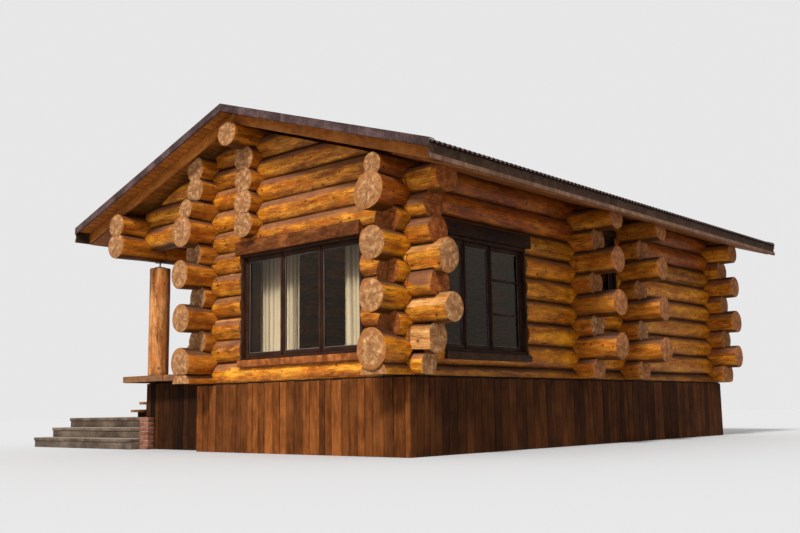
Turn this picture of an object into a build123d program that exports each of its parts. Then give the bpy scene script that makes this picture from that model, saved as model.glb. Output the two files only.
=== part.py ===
from build123d import *
import math
import os

os.makedirs("parts", exist_ok=True)

# Log cabin of round logs with saddle notches, in millimetres.
# +Z is up, +X runs to the right along the front gable wall, +Y runs to the back.
# The origin is on the ground, under the middle of the whole cabin with its steps.

# Logs: the walls along X and the walls along Y lie half a course apart.
log_radius = 200
course = 325
first_course = 133
saddle_gap = 0.5
shoulder_gap = 2

# Plan, measured between log axes.
enclosed_width = 3840
veranda_width = 1780
front_room_depth = 3830
hall_depth = 1420
rear_room_depth = 3350
wall_courses = 8
left_wall_courses = 10
gable_courses = 11

# Plinth and floor.
plinth_height = 990
plinth_outside = 180
plinth_inside = 250
floor_clearance = 2

# Roof: heights are square to the slope, above the plane that the rafters rest on.
roof_pitch = 18.3
eave_overhang = 1090
front_rake = 770
rear_rake = 1040
log_bevel = 10
rafter_depth = 150
rafter_width = 50
rafter_count = 9
rafter_margin = 600
sheathing_thickness = 25
sheet_envelope = 45
cap_thickness = 12
rake_cap_height = 112
ridge_cap_width = 200
ridge_gap = 2
fascia_thickness = 28
sheet_overhang = 40
soffit_thickness = 20
soffit_log_gap = 15
barge_thickness = 45
barge_setback = 271

# Log ends, measured outwards from the faces of the wall that they cross.
front_right_ends = (170, 297, 576, 370, 514, 348, 289, 518)
cross_right_ends = (290, 690, 290, 690, 290, 690, 357, 690)
rear_right_ends = (245, 470, 245, 470, 245, 470, 245, 470)
left_ends = (0, 300, 90, 300, 90, 300, 90, 90)
beam_crossing_end = 60
gable_log_inset = 110
right_front_ends = (465, 160, 465, 160, 440, 170, 490, 420)
left_front_ends = (465, 160, 465, 160, 500, 250, 480, 420, 250, 250)
sill_log_end = 440
beam_end = 465
stack_end = 160

# Windows and doors.
sill_bottom = 211
sill_height = 96
sill_projection = 40
lintel_bottom = 1834
lintel_height = 187
lintel_ear = 90
lintel_projection = 15
casing_thickness = 40
casing_depth = 340
sash_thickness = 70
sash_setback = 60
sash_width = 55
mullion_width = 70
glazing_bar = 28
side_bar_shares = (0.36, 0.67)
glass_thickness = 24
front_window_right = 612
front_window_left = 3039
front_mullions = (1439, 2209)
side_window_start = 500
side_window_end = 2400
side_mullions = (1045, 1625)
hall_window_margin = 250
hall_window_courses = (3, 6)
hall_lintel_height = 108
doorway_width = 900
doorway_top_course = 6
entrance_width = 900
entrance_courses = (0, 5)
door_frame_thickness = 60
door_frame_depth = 240
door_thickness = 60
door_setback = 60

# Curtains and their rail behind the front window.
rail_radius = 14
rail_offset = 262
rail_height = 1925
rail_end_margin = 60
rail_bracket_width = 30
curtain_thickness = 50
curtain_floor_gap = 40
soft_gap = 0.7
curtain_spans = ((800, 1325), (2236, 3090))

# Veranda.
deck_top = 175
deck_thickness = 100
deck_overhang = 420
deck_wall_gap = 30
deck_front_edge = 186
veranda_skirt_recess = 104
veranda_skirt_outside = 170
skirt_thickness = 120
bearer_width = 100
bearer_depth = 180
bearer_count = 6
post_radius = 168
post_setback = 197
post_gap = 82
jack_radius = 12
jack_plate = 120
jack_plate_thickness = 8
beam_seat = 10

# Steps up to the veranda.
steps_reach = 3300
step_count = 3
step_rise = 168
step_run = 348
landing_depth = 1900
pier_width = 240
pier_depth = 120
upper_tread_count = 4
upper_tread_run = 260
tread_thickness = 45
tread_gap = 10
tread_width = 1200
tread_start = 120
stringer_thickness = 60
stringer_depth = 150
stringer_inset = 150

# Places worked out from the sizes above.
half_span = (enclosed_width + veranda_width) / 2
roof_half_width = half_span + eave_overhang
ridge_x = (steps_reach + half_span - roof_half_width) / 2
right_x = ridge_x + half_span
left_x = right_x - enclosed_width
beam_x = ridge_x - half_span
cabin_depth = front_room_depth + hall_depth + rear_room_depth
front_y = -(cabin_depth + rear_rake - front_rake) / 2
hall_front_y = front_y + front_room_depth
hall_rear_y = hall_front_y + hall_depth
rear_y = front_y + cabin_depth
log_base = plinth_height
floor_top = log_base + first_course
slope = math.tan(math.radians(roof_pitch))
cosine = math.cos(math.radians(roof_pitch))


def cross_height(k):
    return log_base + first_course + k * course


def side_height(k):
    return cross_height(k) + course / 2


wall_top = side_height(wall_courses - 1) + (log_radius - log_bevel) / cosine
ridge_bearing = wall_top + half_span * slope
sheet_low = rafter_depth + sheathing_thickness
sheet_high = sheet_low + sheet_envelope
cap_high = sheet_high + cap_thickness
fascia_out = roof_half_width - sheet_overhang
rafter_out = fascia_out - fascia_thickness
front_rake_y = front_y - front_rake
rear_rake_y = rear_y + rear_rake
front_barge_y = front_rake_y + barge_setback
rear_barge_y = rear_rake_y - barge_setback


def bearing(distance):
    """Height of the plane under the rafters at a distance from the ridge."""
    return ridge_bearing - distance * slope


def block(x_range, y_range, z_range):
    """A box between two values along each axis."""
    (x0, x1), (y0, y1), (z0, z1) = x_range, y_range, z_range
    with BuildPart() as box:
        with BuildSketch(Plane.XY.offset(z0)):
            with Locations(((x0 + x1) / 2, (y0 + y1) / 2)):
                Rectangle(abs(x1 - x0), abs(y1 - y0))
        extrude(amount=z1 - z0)
    return box.part


def upright(y):
    """Plane across the cabin at y: its x is X and its y is Z."""
    return Plane(origin=(0, y, 0), x_dir=(1, 0, 0), z_dir=(0, -1, 0))


def roof_outline(inner, outer, low, high):
    """Corners of a layer of the roof, for one side, as distances from the ridge and heights."""
    return [
        (inner, bearing(inner) + low / cosine),
        (outer, bearing(outer) + low / cosine),
        (outer, bearing(outer) + high / cosine),
        (inner, bearing(inner) + high / cosine),
    ]


def roof_layer(side, inner, outer, low, high, y_range):
    """A layer of one slope; side is 1 on the right and -1 on the left."""
    corners = [(ridge_x + side * d, z) for d, z in roof_outline(inner, outer, low, high)]
    with BuildPart() as layer:
        with BuildSketch(upright(y_range[0])):
            Polygon(*corners, align=None)
        extrude(amount=-(y_range[1] - y_range[0]))
    return layer.part


def roof_chevron(outer, low, high, y_range):
    """A layer that runs over the ridge as one piece."""
    right = [(ridge_x + d, z) for d, z in roof_outline(0, outer, low, high)]
    left = [(ridge_x - d, z) for d, z in roof_outline(0, outer, low, high)]
    corners = [right[0], right[1], right[2], right[3], left[2], left[1]]
    with BuildPart() as layer:
        with BuildSketch(upright(y_range[0])):
            Polygon(*corners, align=None)
        extrude(amount=-(y_range[1] - y_range[0]))
    return layer.part


def cross_frame(y, z):
    """Frame of a log that runs along X."""
    return Plane(origin=(0, y, z), x_dir=(1, 0, 0), z_dir=(0, 0, 1))


def side_frame(x, z):
    """Frame of a log that runs along Y."""
    return Plane(origin=(x, 0, z), x_dir=(0, 1, 0), z_dir=(0, 0, 1))


def section_plane(frame, s):
    """Plane square to a log at s along it, with its y up."""
    return Plane(origin=frame.from_local_coords((s, 0, 0)), x_dir=frame.y_dir, z_dir=frame.x_dir)


def profile_plane(frame, s, rise):
    """Plane along a log at s and a height above its axis, with its y up."""
    return Plane(origin=frame.from_local_coords((s, 0, rise)), x_dir=frame.x_dir, z_dir=-frame.y_dir)


def log(frame, span, above=(), below=(), saddles=(), round_saddles=(), voids=()):
    """One log along its frame's x.

    above and below are the spans of the logs of the same wall that lie on it and under it,
    where it is hewn flat. saddles are the places where it sits over a crossing log, which is
    flat on top too, or round on top at round_saddles. voids are cut out of it.
    """
    flats = [(hewn, 1) for hewn in above] + [(hewn, -1) for hewn in below]
    with BuildPart() as one:
        with BuildSketch(section_plane(frame, span[0])):
            Circle(log_radius)
        extrude(amount=span[1] - span[0])
        for (low, high), side in flats:
            with BuildSketch(profile_plane(frame, 0, 0)):
                with Locations(((low + high) / 2, side * (course + log_radius) / 2)):
                    Rectangle(high - low + 2 * shoulder_gap, log_radius)
            extrude(amount=log_radius + shoulder_gap, both=True, mode=Mode.SUBTRACT)
        for s in (*saddles, *round_saddles):
            with BuildSketch(profile_plane(frame, s, -course / 2)):
                Circle(log_radius + saddle_gap)
                if s in saddles:
                    with Locations((0, (course + log_radius) / 2)):
                        Rectangle(3 * log_radius, log_radius, mode=Mode.SUBTRACT)
            extrude(amount=log_radius + shoulder_gap, both=True, mode=Mode.SUBTRACT)
        for void in voids:
            add(void, mode=Mode.SUBTRACT)
    return one.part


def joined(pieces):
    """The pieces of one node together."""
    with BuildPart() as node:
        add(pieces)
    return node.part


def save(part, name):
    part.label = name
    export_step(part, f"parts/{name}.step")


def save_walls(walls, name):
    """Neighbouring logs of a wall touch along their flats, so alternate logs are two nodes."""
    for parity, word in ((0, "even"), (1, "odd")):
        save(joined([one for logs in walls for one in logs[parity::2]]), f"{name}_{word}_logs")


# Spaces that are cut out of the logs.
far = 20000
under_base = block((-far, far), (-far, far), (0, log_base))
over_rafter_plane = roof_chevron(roof_half_width * 2, 0, far / 4, (-far / 2, far / 2))
over_soffit_plane = roof_chevron(
    roof_half_width * 2, -soffit_thickness - shoulder_gap, far / 4, (-far / 2, far / 2)
)
lintel_top = lintel_bottom + lintel_height
hall_window_low = log_base + first_course + hall_window_courses[0] * course
hall_window_high = log_base + first_course + (hall_window_courses[1] + 1) * course
entrance_low = log_base + first_course + entrance_courses[0] * course
entrance_high = log_base + first_course + (entrance_courses[1] + 1) * course
front_window_x = (right_x - front_window_left, right_x - front_window_right)
front_lintel_x = (front_window_x[0] - lintel_ear, front_window_x[1])
side_window_y = (front_y + side_window_start, front_y + side_window_end)
hall_window_y = (hall_front_y + hall_window_margin, hall_rear_y - hall_window_margin)
hall_centre_y = (hall_front_y + hall_rear_y) / 2
entrance_y = (hall_centre_y - entrance_width / 2, hall_centre_y + entrance_width / 2)
doorway_x = (
    (left_x + right_x - doorway_width) / 2,
    (left_x + right_x + doorway_width) / 2,
)
doorway_top = log_base + first_course + (doorway_top_course + 0.5) * course
window_z = (log_base + sill_bottom, log_base + lintel_top)
lintel_z = (log_base + lintel_bottom, log_base + lintel_top)
hall_lintel_z = (hall_window_high - hall_lintel_height, hall_window_high)
through = log_radius + shoulder_gap
right_cut_x = (right_x - through, right_x + through)
left_cut_x = (left_x - through, left_x + through)
front_cut_y = (front_y - through, front_y + through)


def widened(values, extra):
    return (values[0] - extra, values[1] + extra)


front_cuts = [
    block(front_window_x, front_cut_y, window_z),
    block(front_lintel_x, front_cut_y, lintel_z),
]
right_cuts = [
    block(right_cut_x, side_window_y, window_z),
    block(right_cut_x, widened(side_window_y, lintel_ear), lintel_z),
    block(right_cut_x, hall_window_y, (hall_window_low, hall_window_high)),
]
left_cuts = [block(left_cut_x, entrance_y, (entrance_low, entrance_high))]


def doorway_cut(y):
    return [block(doorway_x, (y - through, y + through), (log_base, doorway_top))]


def touching(height, cuts):
    """The cuts whose height range a log at this height reaches."""
    kept = []
    for cut in cuts:
        box = cut.bounding_box()
        if box.min.Z < height + log_radius and box.max.Z > height - log_radius:
            kept.append(cut)
    return kept


def cross_span(k, right_ends):
    """Where a log of a wall along X with a gable starts and ends, at course k."""
    if k == gable_courses - 1:
        return (left_x + log_radius + shoulder_gap, right_x - gable_log_inset)
    if k >= wall_courses:
        return (beam_x + gable_log_inset, right_x - gable_log_inset)
    if k == wall_courses - 1:
        return (beam_x - log_radius - beam_crossing_end, right_x + log_radius + right_ends[k])
    return (left_x - log_radius - left_ends[k], right_x + log_radius + right_ends[k])


def gable_wall(y, right_ends, cuts):
    """The logs of the front or rear wall with its gable, which runs over the veranda."""
    logs = []
    spans = [cross_span(k, right_ends) for k in range(gable_courses)]
    top = wall_courses - 1
    for k in range(gable_courses):
        above = [spans[min(k + 1, gable_courses - 1)]]
        below = [spans[k - 1]] if k > 0 else []
        saddles = [] if k == gable_courses - 1 else [left_x]
        round_saddles = []
        voids = touching(cross_height(k), cuts)
        if k <= top:
            saddles.append(right_x)
        if k == top:
            saddles.append(beam_x)
            above = [(beam_x - log_radius, right_x + log_radius)]
        if k == gable_courses - 2:
            above = [(left_x - log_radius, spans[k + 1][1])]
        if k == wall_courses:
            round_saddles = [beam_x, right_x]
        if k >= top:
            saddles.append(ridge_x)
            voids.append(over_soffit_plane)
        if k == 0:
            voids.append(under_base)
        frame = cross_frame(y, cross_height(k))
        logs.append(log(frame, spans[k], above, below, saddles, round_saddles, voids))
    return logs


def cross_wall(y, right_ends, cuts):
    """The logs of a wall along X between two rooms."""
    logs = []
    spans = []
    for k in range(wall_courses):
        spans.append((left_x - log_radius - left_ends[k], right_x + log_radius + right_ends[k]))
    spans.append((left_x - log_radius, right_x + log_radius))
    for k in range(wall_courses):
        above = [spans[k + 1]]
        below = [spans[k - 1]] if k > 0 else []
        voids = touching(cross_height(k), cuts)
        if k == 0:
            voids.append(under_base)
        if k == wall_courses - 1:
            voids.append(over_soffit_plane)
        frame = cross_frame(y, cross_height(k))
        logs.append(log(frame, spans[k], above, below, (left_x, right_x), (), voids))
    return logs


def side_wall(x, front_ends, courses, cuts):
    """The logs of a wall that runs along Y, with half a log at the bottom."""
    logs = []
    spans = []
    for end in (sill_log_end, *front_ends[:courses]):
        spans.append((front_y - log_radius - end, rear_y + log_radius + end))
    for k in range(-1, courses):
        above = [spans[k + 2]] if k + 1 < courses else []
        below = [spans[k]] if k >= 0 else []
        saddles = []
        if k >= 0:
            saddles = all_walls if k < wall_courses else end_walls
        voids = touching(side_height(k), cuts)
        if k < 0:
            voids.append(under_base)
        if k == courses - 1:
            voids.append(over_rafter_plane)
        frame = side_frame(x, side_height(k))
        logs.append(log(frame, spans[k + 1], above, below, saddles, (), voids))
    return logs


# Log walls.
all_walls = (front_y, hall_front_y, hall_rear_y, rear_y)
end_walls = (front_y, rear_y)
save_walls([gable_wall(front_y, front_right_ends, front_cuts)], "front_wall")
save_walls([gable_wall(rear_y, rear_right_ends, [])], "rear_wall")
hall_walls = [cross_wall(y, cross_right_ends, doorway_cut(y)) for y in (hall_front_y, hall_rear_y)]
save_walls(hall_walls, "hall_walls")
save_walls([side_wall(right_x, right_front_ends, wall_courses, right_cuts)], "right_wall")
save_walls([side_wall(left_x, left_front_ends, left_wall_courses, left_cuts)], "left_wall")

# Beam of two logs over the open side of the veranda, with flat seats for the jacks.
beam_span = (front_y - log_radius - beam_end, rear_y + log_radius + beam_end)
lower_beam_z = side_height(wall_courses - 2)
upper_beam_z = side_height(wall_courses - 1)
post_y = (front_y + post_setback, rear_y - post_setback)
beam_underside = lower_beam_z - log_radius + beam_seat
jack_seats = [
    block(
        (beam_x - log_radius, beam_x + log_radius),
        (y - jack_plate / 2, y + jack_plate / 2),
        (beam_underside - 2 * beam_seat, beam_underside),
    )
    for y in post_y
]
lower_beam = log(side_frame(beam_x, lower_beam_z), beam_span, above=[beam_span], voids=jack_seats)
save(lower_beam, "veranda_lower_beam")
upper_beam = log(
    side_frame(beam_x, upper_beam_z),
    beam_span,
    below=[beam_span],
    saddles=end_walls,
    voids=[over_rafter_plane],
)
save(upper_beam, "veranda_upper_beam")

# Short logs stacked on the middle of each gable wall, and the ridge purlin that they carry.
stack_spans = [(y - log_radius - stack_end, y + log_radius + stack_end) for y in end_walls]
ridge_purlin = log(
    side_frame(ridge_x, side_height(gable_courses - 1)),
    beam_span,
    below=stack_spans,
    saddles=end_walls,
    voids=[over_rafter_plane],
)
save(ridge_purlin, "ridge_purlin")


def ridge_stack(courses):
    pieces = []
    for k in courses:
        for y, span in zip(end_walls, stack_spans):
            below = [span] if k > wall_courses - 2 else []
            frame = side_frame(ridge_x, side_height(k))
            pieces.append(log(frame, span, above=[span], below=below, saddles=(y,)))
    return joined(pieces)


stack_courses = range(wall_courses - 2, gable_courses - 1)
save(ridge_stack(stack_courses[0::2]), "ridge_stack_even_logs")
save(ridge_stack(stack_courses[1::2]), "ridge_stack_odd_logs")

# Plinth: walls under the log walls, faced with upright boards.
plinth_z = (0, log_base)
inside = log_radius + floor_clearance
right_plinth_x = (right_x - plinth_inside, right_x + plinth_outside)
left_plinth_x = (left_x - inside, left_x + plinth_inside)
plinth_y = (front_y - plinth_outside, rear_y + plinth_outside)
between_x = (left_plinth_x[1], right_plinth_x[0])
front_plinth_y = (plinth_y[0], front_y + plinth_inside)
rear_plinth_y = (rear_y - plinth_inside, plinth_y[1])
side_plinths = [block(x, plinth_y, plinth_z) for x in (left_plinth_x, right_plinth_x)]
end_plinths = [block(between_x, y, plinth_z) for y in (front_plinth_y, rear_plinth_y)]
save(joined(side_plinths), "side_plinths")
save(joined(end_plinths), "end_plinths")

# Floor of the three rooms, resting on the inner edge of the plinth. It runs through the doorways.
room_x = (left_x + inside, right_x - inside)
room_floors = [
    block(room_x, (near + inside, beyond - inside), (log_base, floor_top))
    for near, beyond in zip(all_walls, all_walls[1:])
]
threshold_x = widened(doorway_x, -floor_clearance)
for y in (hall_front_y, hall_rear_y):
    room_floors.append(block(threshold_x, (y - inside, y + inside), (log_base, floor_top)))
save(joined(room_floors), "room_floors")

# Veranda skirts, bearers and deck.
deck_high = log_base + deck_top
deck_low = deck_high - deck_thickness
skirt_x = beam_x - veranda_skirt_outside
skirt_y = (front_y + veranda_skirt_recess, rear_y - veranda_skirt_recess)
side_skirt_x = (skirt_x, skirt_x + skirt_thickness)
end_skirt_x = (side_skirt_x[1], left_plinth_x[0])
save(block(side_skirt_x, skirt_y, (0, deck_low)), "veranda_side_skirt")
end_skirts = [
    block(end_skirt_x, (skirt_y[0], skirt_y[0] + skirt_thickness), (0, deck_low)),
    block(end_skirt_x, (skirt_y[1] - skirt_thickness, skirt_y[1]), (0, deck_low)),
]
save(joined(end_skirts), "veranda_end_skirts")
bearer_low = skirt_y[0] + skirt_thickness
bearer_high = skirt_y[1] - skirt_thickness
bearer_pitch = (bearer_high - bearer_low) / (bearer_count + 1)
bearers = []
for i in range(bearer_count):
    y = bearer_low + (i + 1) * bearer_pitch
    bearer_y = (y - bearer_width / 2, y + bearer_width / 2)
    bearers.append(block(end_skirt_x, bearer_y, (deck_low - bearer_depth, deck_low)))
save(joined(bearers), "deck_bearers")
deck_x = (beam_x - deck_overhang, left_x - log_radius - deck_wall_gap)
deck_y = (front_y - deck_front_edge, rear_y + deck_front_edge)
save(block(deck_x, deck_y, (deck_low, deck_high)), "veranda_deck")

# Round posts, and the screw jacks between them and the beam.
post_top = beam_underside - post_gap
post_places = [(beam_x, y) for y in post_y]
with BuildPart() as veranda_posts:
    with BuildSketch(Plane.XY.offset(deck_high)):
        with Locations(*post_places):
            Circle(post_radius)
    extrude(amount=post_top - deck_high)
save(veranda_posts.part, "veranda_posts")

with BuildPart() as post_jacks:
    with BuildSketch(Plane.XY.offset(post_top)):
        with Locations(*post_places):
            Circle(jack_radius)
    extrude(amount=post_gap)
    for plate_z in (post_top, beam_underside - jack_plate_thickness):
        with BuildSketch(Plane.XY.offset(plate_z)):
            with Locations(*post_places):
                Rectangle(jack_plate, jack_plate)
        extrude(amount=jack_plate_thickness)
save(post_jacks.part, "post_jacks")


def light_edges(width, mullions):
    """Left and right edges of a window's lights, from the middles of its mullions."""
    edge = casing_thickness + sash_width
    lows = [edge] + [m + mullion_width / 2 for m in mullions]
    highs = [m - mullion_width / 2 for m in mullions] + [width - edge]
    return list(zip(lows, highs))


def panel(plane, x_range, y_range, depth):
    """A flat piece on a plane, running back from it."""
    with BuildPart() as piece:
        with BuildSketch(plane):
            with Locations((x_range[0], y_range[0])):
                corner = (Align.MIN, Align.MIN)
                Rectangle(x_range[1] - x_range[0], y_range[1] - y_range[0], align=corner)
        extrude(amount=-depth)
    return piece.part


def window(plane, width, height, mullions, bars=()):
    """Frame and glass of a window, seen from outside.

    plane lies on the outer face of the casing, with its origin at the lower left corner of the
    opening, x along the wall, y up and z outwards. bars are pairs of a light's number and the
    height of a glazing bar in it.
    """
    lights = light_edges(width, mullions)
    edge = casing_thickness + sash_width
    light_y = (edge, height - edge)
    inner_x = (casing_thickness, width - casing_thickness)
    inner_y = (casing_thickness, height - casing_thickness)
    sash_plane = plane.offset(-sash_setback)
    glass_setback = (sash_thickness - glass_thickness) / 2
    with BuildPart() as frame:
        add(panel(plane, (0, width), (0, height), casing_depth))
        add(panel(plane, inner_x, inner_y, casing_depth), mode=Mode.SUBTRACT)
        add(panel(sash_plane, inner_x, inner_y, sash_thickness))
        for light in lights:
            add(panel(sash_plane, light, light_y, sash_thickness), mode=Mode.SUBTRACT)
        for number, middle in bars:
            bar_y = (middle - glazing_bar / 2, middle + glazing_bar / 2)
            add(panel(sash_plane, lights[number], bar_y, glass_setback))
    glass_plane = sash_plane.offset(-glass_setback)
    panes = [panel(glass_plane, light, light_y, glass_thickness) for light in lights]
    return frame.part, panes


# Windows: casing, sash with mullions, glass, sill and lintel.
frame_bottom = log_base + sill_bottom + sill_height
frame_height = lintel_bottom - sill_bottom - sill_height
front_width = front_window_x[1] - front_window_x[0]
front_plane = Plane(
    origin=(front_window_x[0], front_y - casing_depth / 2, frame_bottom),
    x_dir=(1, 0, 0),
    z_dir=(0, -1, 0),
)
front_posts = [front_window_left - m for m in reversed(front_mullions)]
front_frame, front_panes = window(front_plane, front_width, frame_height, front_posts)
side_width = side_window_end - side_window_start
side_plane = Plane(
    origin=(right_x + casing_depth / 2, side_window_y[0], frame_bottom),
    x_dir=(0, 1, 0),
    z_dir=(1, 0, 0),
)
side_posts = [m - side_window_start for m in side_mullions]
side_bars = [(len(side_posts), frame_height * share) for share in side_bar_shares]
side_window, side_panes = window(side_plane, side_width, frame_height, side_posts, side_bars)
hall_width = hall_window_y[1] - hall_window_y[0]
hall_bottom = hall_window_low + sill_height
hall_height = hall_lintel_z[0] - hall_bottom
hall_plane = Plane(
    origin=(right_x + casing_depth / 2, hall_window_y[0], hall_bottom),
    x_dir=(0, 1, 0),
    z_dir=(1, 0, 0),
)
hall_frame, hall_panes = window(hall_plane, hall_width, hall_height, [hall_width / 2])
save(front_frame, "front_window_frame")
save(side_window, "side_window_frame")
save(hall_frame, "hall_window_frame")
save(joined(front_panes + side_panes + hall_panes), "window_glass")

sill_y = (front_y - log_radius - sill_projection, front_y + casing_depth / 2)
sill_x = (right_x - casing_depth / 2, right_x + log_radius + sill_projection)
sill_z = (log_base + sill_bottom, frame_bottom)
sills = [
    block(front_window_x, sill_y, sill_z),
    block(sill_x, side_window_y, sill_z),
    block(sill_x, hall_window_y, (hall_window_low, hall_bottom)),
]
save(joined(sills), "window_sills")

lintel_y = (front_y - log_radius - lintel_projection, front_y + log_radius)
lintel_x = (right_x - log_radius, right_x + log_radius + lintel_projection)
lintels = [
    block(front_lintel_x, lintel_y, lintel_z),
    block(lintel_x, widened(side_window_y, lintel_ear), lintel_z),
    block(lintel_x, hall_window_y, hall_lintel_z),
]
save(joined(lintels), "window_lintels")

# Entrance door in the narrow bay, on the veranda.
jamb = door_frame_thickness
door_y = (entrance_y[0] + jamb, entrance_y[1] - jamb)
door_z = (entrance_low, entrance_high - jamb)
door_frame_x = (left_x - door_frame_depth / 2, left_x + door_frame_depth / 2)
door_x = (door_frame_x[0] + door_setback, door_frame_x[0] + door_setback + door_thickness)
with BuildPart() as entrance_frame:
    add(block(door_frame_x, entrance_y, (entrance_low, entrance_high)))
    add(block(door_frame_x, door_y, door_z), mode=Mode.SUBTRACT)
save(entrance_frame.part, "entrance_frame")
save(block(door_x, door_y, door_z), "entrance_door")

# Curtain rail on the inner face of the front lintel, and the curtains that hang from it.
rail_y = front_y + rail_offset
rail_z = log_base + rail_height
rail_x = (front_window_x[0] - rail_end_margin, front_window_x[1] + rail_end_margin)
rail_plane = Plane(origin=(rail_x[0], rail_y, rail_z), x_dir=(0, 1, 0), z_dir=(1, 0, 0))
with BuildPart() as curtain_rail:
    with BuildSketch(rail_plane):
        Circle(rail_radius)
    extrude(amount=rail_x[1] - rail_x[0])
    for x in front_window_x:
        bracket_x = (x - rail_bracket_width / 2, x + rail_bracket_width / 2)
        bracket_z = (rail_z - rail_radius, rail_z + rail_radius)
        add(block(bracket_x, (front_y + log_radius, rail_y), bracket_z))
save(curtain_rail.part, "curtain_rail")
curtain_y = (rail_y - curtain_thickness / 2, rail_y + curtain_thickness / 2)
curtain_z = (floor_top + curtain_floor_gap, rail_z - rail_radius - soft_gap)
curtains = []
for near_edge, far_edge in curtain_spans:
    curtains.append(block((right_x - far_edge, right_x - near_edge), curtain_y, curtain_z))
save(joined(curtains), "front_curtains")

# Roof: rafters, barge boards, sheathing, corrugated sheets, caps, fascias and soffits.
rafter_low = front_y + rafter_margin
rafter_pitch = (cabin_depth - 2 * rafter_margin) / (rafter_count - 1)
rafters = []
for i in range(rafter_count):
    y = rafter_low + i * rafter_pitch
    for side in (1, -1):
        rafter_y = (y - rafter_width / 2, y + rafter_width / 2)
        rafters.append(roof_layer(side, ridge_gap, rafter_out, 0, rafter_depth, rafter_y))
save(joined(rafters), "rafters")
barge_boards = []
for y in (front_barge_y, rear_barge_y):
    barge_y = (y - barge_thickness / 2, y + barge_thickness / 2)
    barge_boards.append(roof_chevron(rafter_out, 0, rafter_depth, barge_y))
save(joined(barge_boards), "barge_boards")

covering_y = (front_rake_y + cap_thickness, rear_rake_y - cap_thickness)
soffit_y = (front_barge_y + barge_thickness / 2, rear_barge_y - barge_thickness / 2)
soffit_in = half_span + log_radius + soffit_log_gap
sheathing = []
sheets = []
fascias = []
soffits = []
for side in (1, -1):
    sheathing.append(roof_layer(side, ridge_gap, rafter_out, rafter_depth, sheet_low, covering_y))
    sheets.append(roof_layer(side, ridge_gap, roof_half_width, sheet_low, sheet_high, covering_y))
    fascias.append(roof_layer(side, rafter_out, fascia_out, 0, sheet_low, covering_y))
    soffits.append(roof_layer(side, soffit_in, fascia_out, -soffit_thickness, 0, soffit_y))
save(joined(sheathing), "roof_sheathing")
save(joined(sheets), "roof_sheets")
save(joined(fascias), "fascias")
save(joined(soffits), "soffits")
save(roof_chevron(ridge_cap_width, sheet_high, cap_high, covering_y), "ridge_cap")
rake_caps = []
for y in (front_rake_y, rear_rake_y - cap_thickness):
    cap_y = (y, y + cap_thickness)
    rake_caps.append(roof_chevron(roof_half_width, cap_high - rake_cap_height, cap_high, cap_y))
save(joined(rake_caps), "rake_caps")

# Lower steps: one mass of concrete up to the landing, and a brick pier at the skirt's corner.
landing_top = step_count * step_rise
steps_left = beam_x - steps_reach
steps_front = front_y - plinth_outside
landing_back = steps_front + (step_count - 1) * step_run + landing_depth
with BuildPart() as lower_steps:
    for i in range(step_count):
        step_y = (steps_front + i * step_run, landing_back)
        add(block((steps_left, skirt_x), step_y, (i * step_rise, (i + 1) * step_rise)))
save(lower_steps.part, "lower_steps")
pier_y = (skirt_y[0] - pier_depth, skirt_y[0])
save(block((skirt_x, skirt_x + pier_width), pier_y, (0, landing_top)), "brick_pier")

# Upper flight: planks on two stringers, from the landing to the edge of the deck.
flight_rise = (deck_high - landing_top) / (upper_tread_count + 1)
flight_y = steps_front + (step_count - 1) * step_run + tread_start
flight_x = deck_x[0] - upper_tread_count * upper_tread_run
treads = []
outline = [(flight_x, landing_top)]
for i in range(upper_tread_count):
    low_x = flight_x + i * upper_tread_run
    high_x = low_x + upper_tread_run
    tread_high = landing_top + (i + 1) * flight_rise
    seat = tread_high - tread_thickness
    tread_x = (low_x, high_x - tread_gap)
    treads.append(block(tread_x, (flight_y, flight_y + tread_width), (seat, tread_high)))
    outline.append((low_x, seat))
    outline.append((high_x, seat))
save(joined(treads), "upper_treads")
outline.append((deck_x[0], seat - stringer_depth))
outline.append((flight_x + stringer_depth, landing_top))
far_stringer_y = flight_y + tread_width - stringer_inset - stringer_thickness
stringers = []
for y in (flight_y + stringer_inset, far_stringer_y):
    with BuildPart() as stringer:
        with BuildSketch(upright(y)):
            Polygon(*outline, align=None)
        extrude(amount=-stringer_thickness)
    stringers.append(stringer.part)
save(joined(stringers), "stair_stringers")
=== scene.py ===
import math
import random

import bmesh
import bpy
import numpy as np
from mathutils import Matrix, Vector, noise


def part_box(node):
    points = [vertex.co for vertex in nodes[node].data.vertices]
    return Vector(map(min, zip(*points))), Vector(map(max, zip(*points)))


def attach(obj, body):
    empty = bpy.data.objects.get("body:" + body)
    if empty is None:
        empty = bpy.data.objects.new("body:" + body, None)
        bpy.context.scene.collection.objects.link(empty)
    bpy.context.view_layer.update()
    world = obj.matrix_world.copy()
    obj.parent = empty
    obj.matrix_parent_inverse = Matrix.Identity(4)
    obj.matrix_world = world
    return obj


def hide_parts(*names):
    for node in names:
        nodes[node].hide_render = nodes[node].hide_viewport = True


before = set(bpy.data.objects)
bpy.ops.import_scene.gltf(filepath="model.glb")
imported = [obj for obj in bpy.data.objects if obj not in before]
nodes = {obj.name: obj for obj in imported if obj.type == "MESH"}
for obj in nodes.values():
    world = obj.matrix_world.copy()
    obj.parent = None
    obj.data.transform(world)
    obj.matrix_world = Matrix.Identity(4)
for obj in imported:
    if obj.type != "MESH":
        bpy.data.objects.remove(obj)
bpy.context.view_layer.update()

random.seed(11)
bpy.ops.object.select_all(action="DESELECT")
print("frame loaded")

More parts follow.
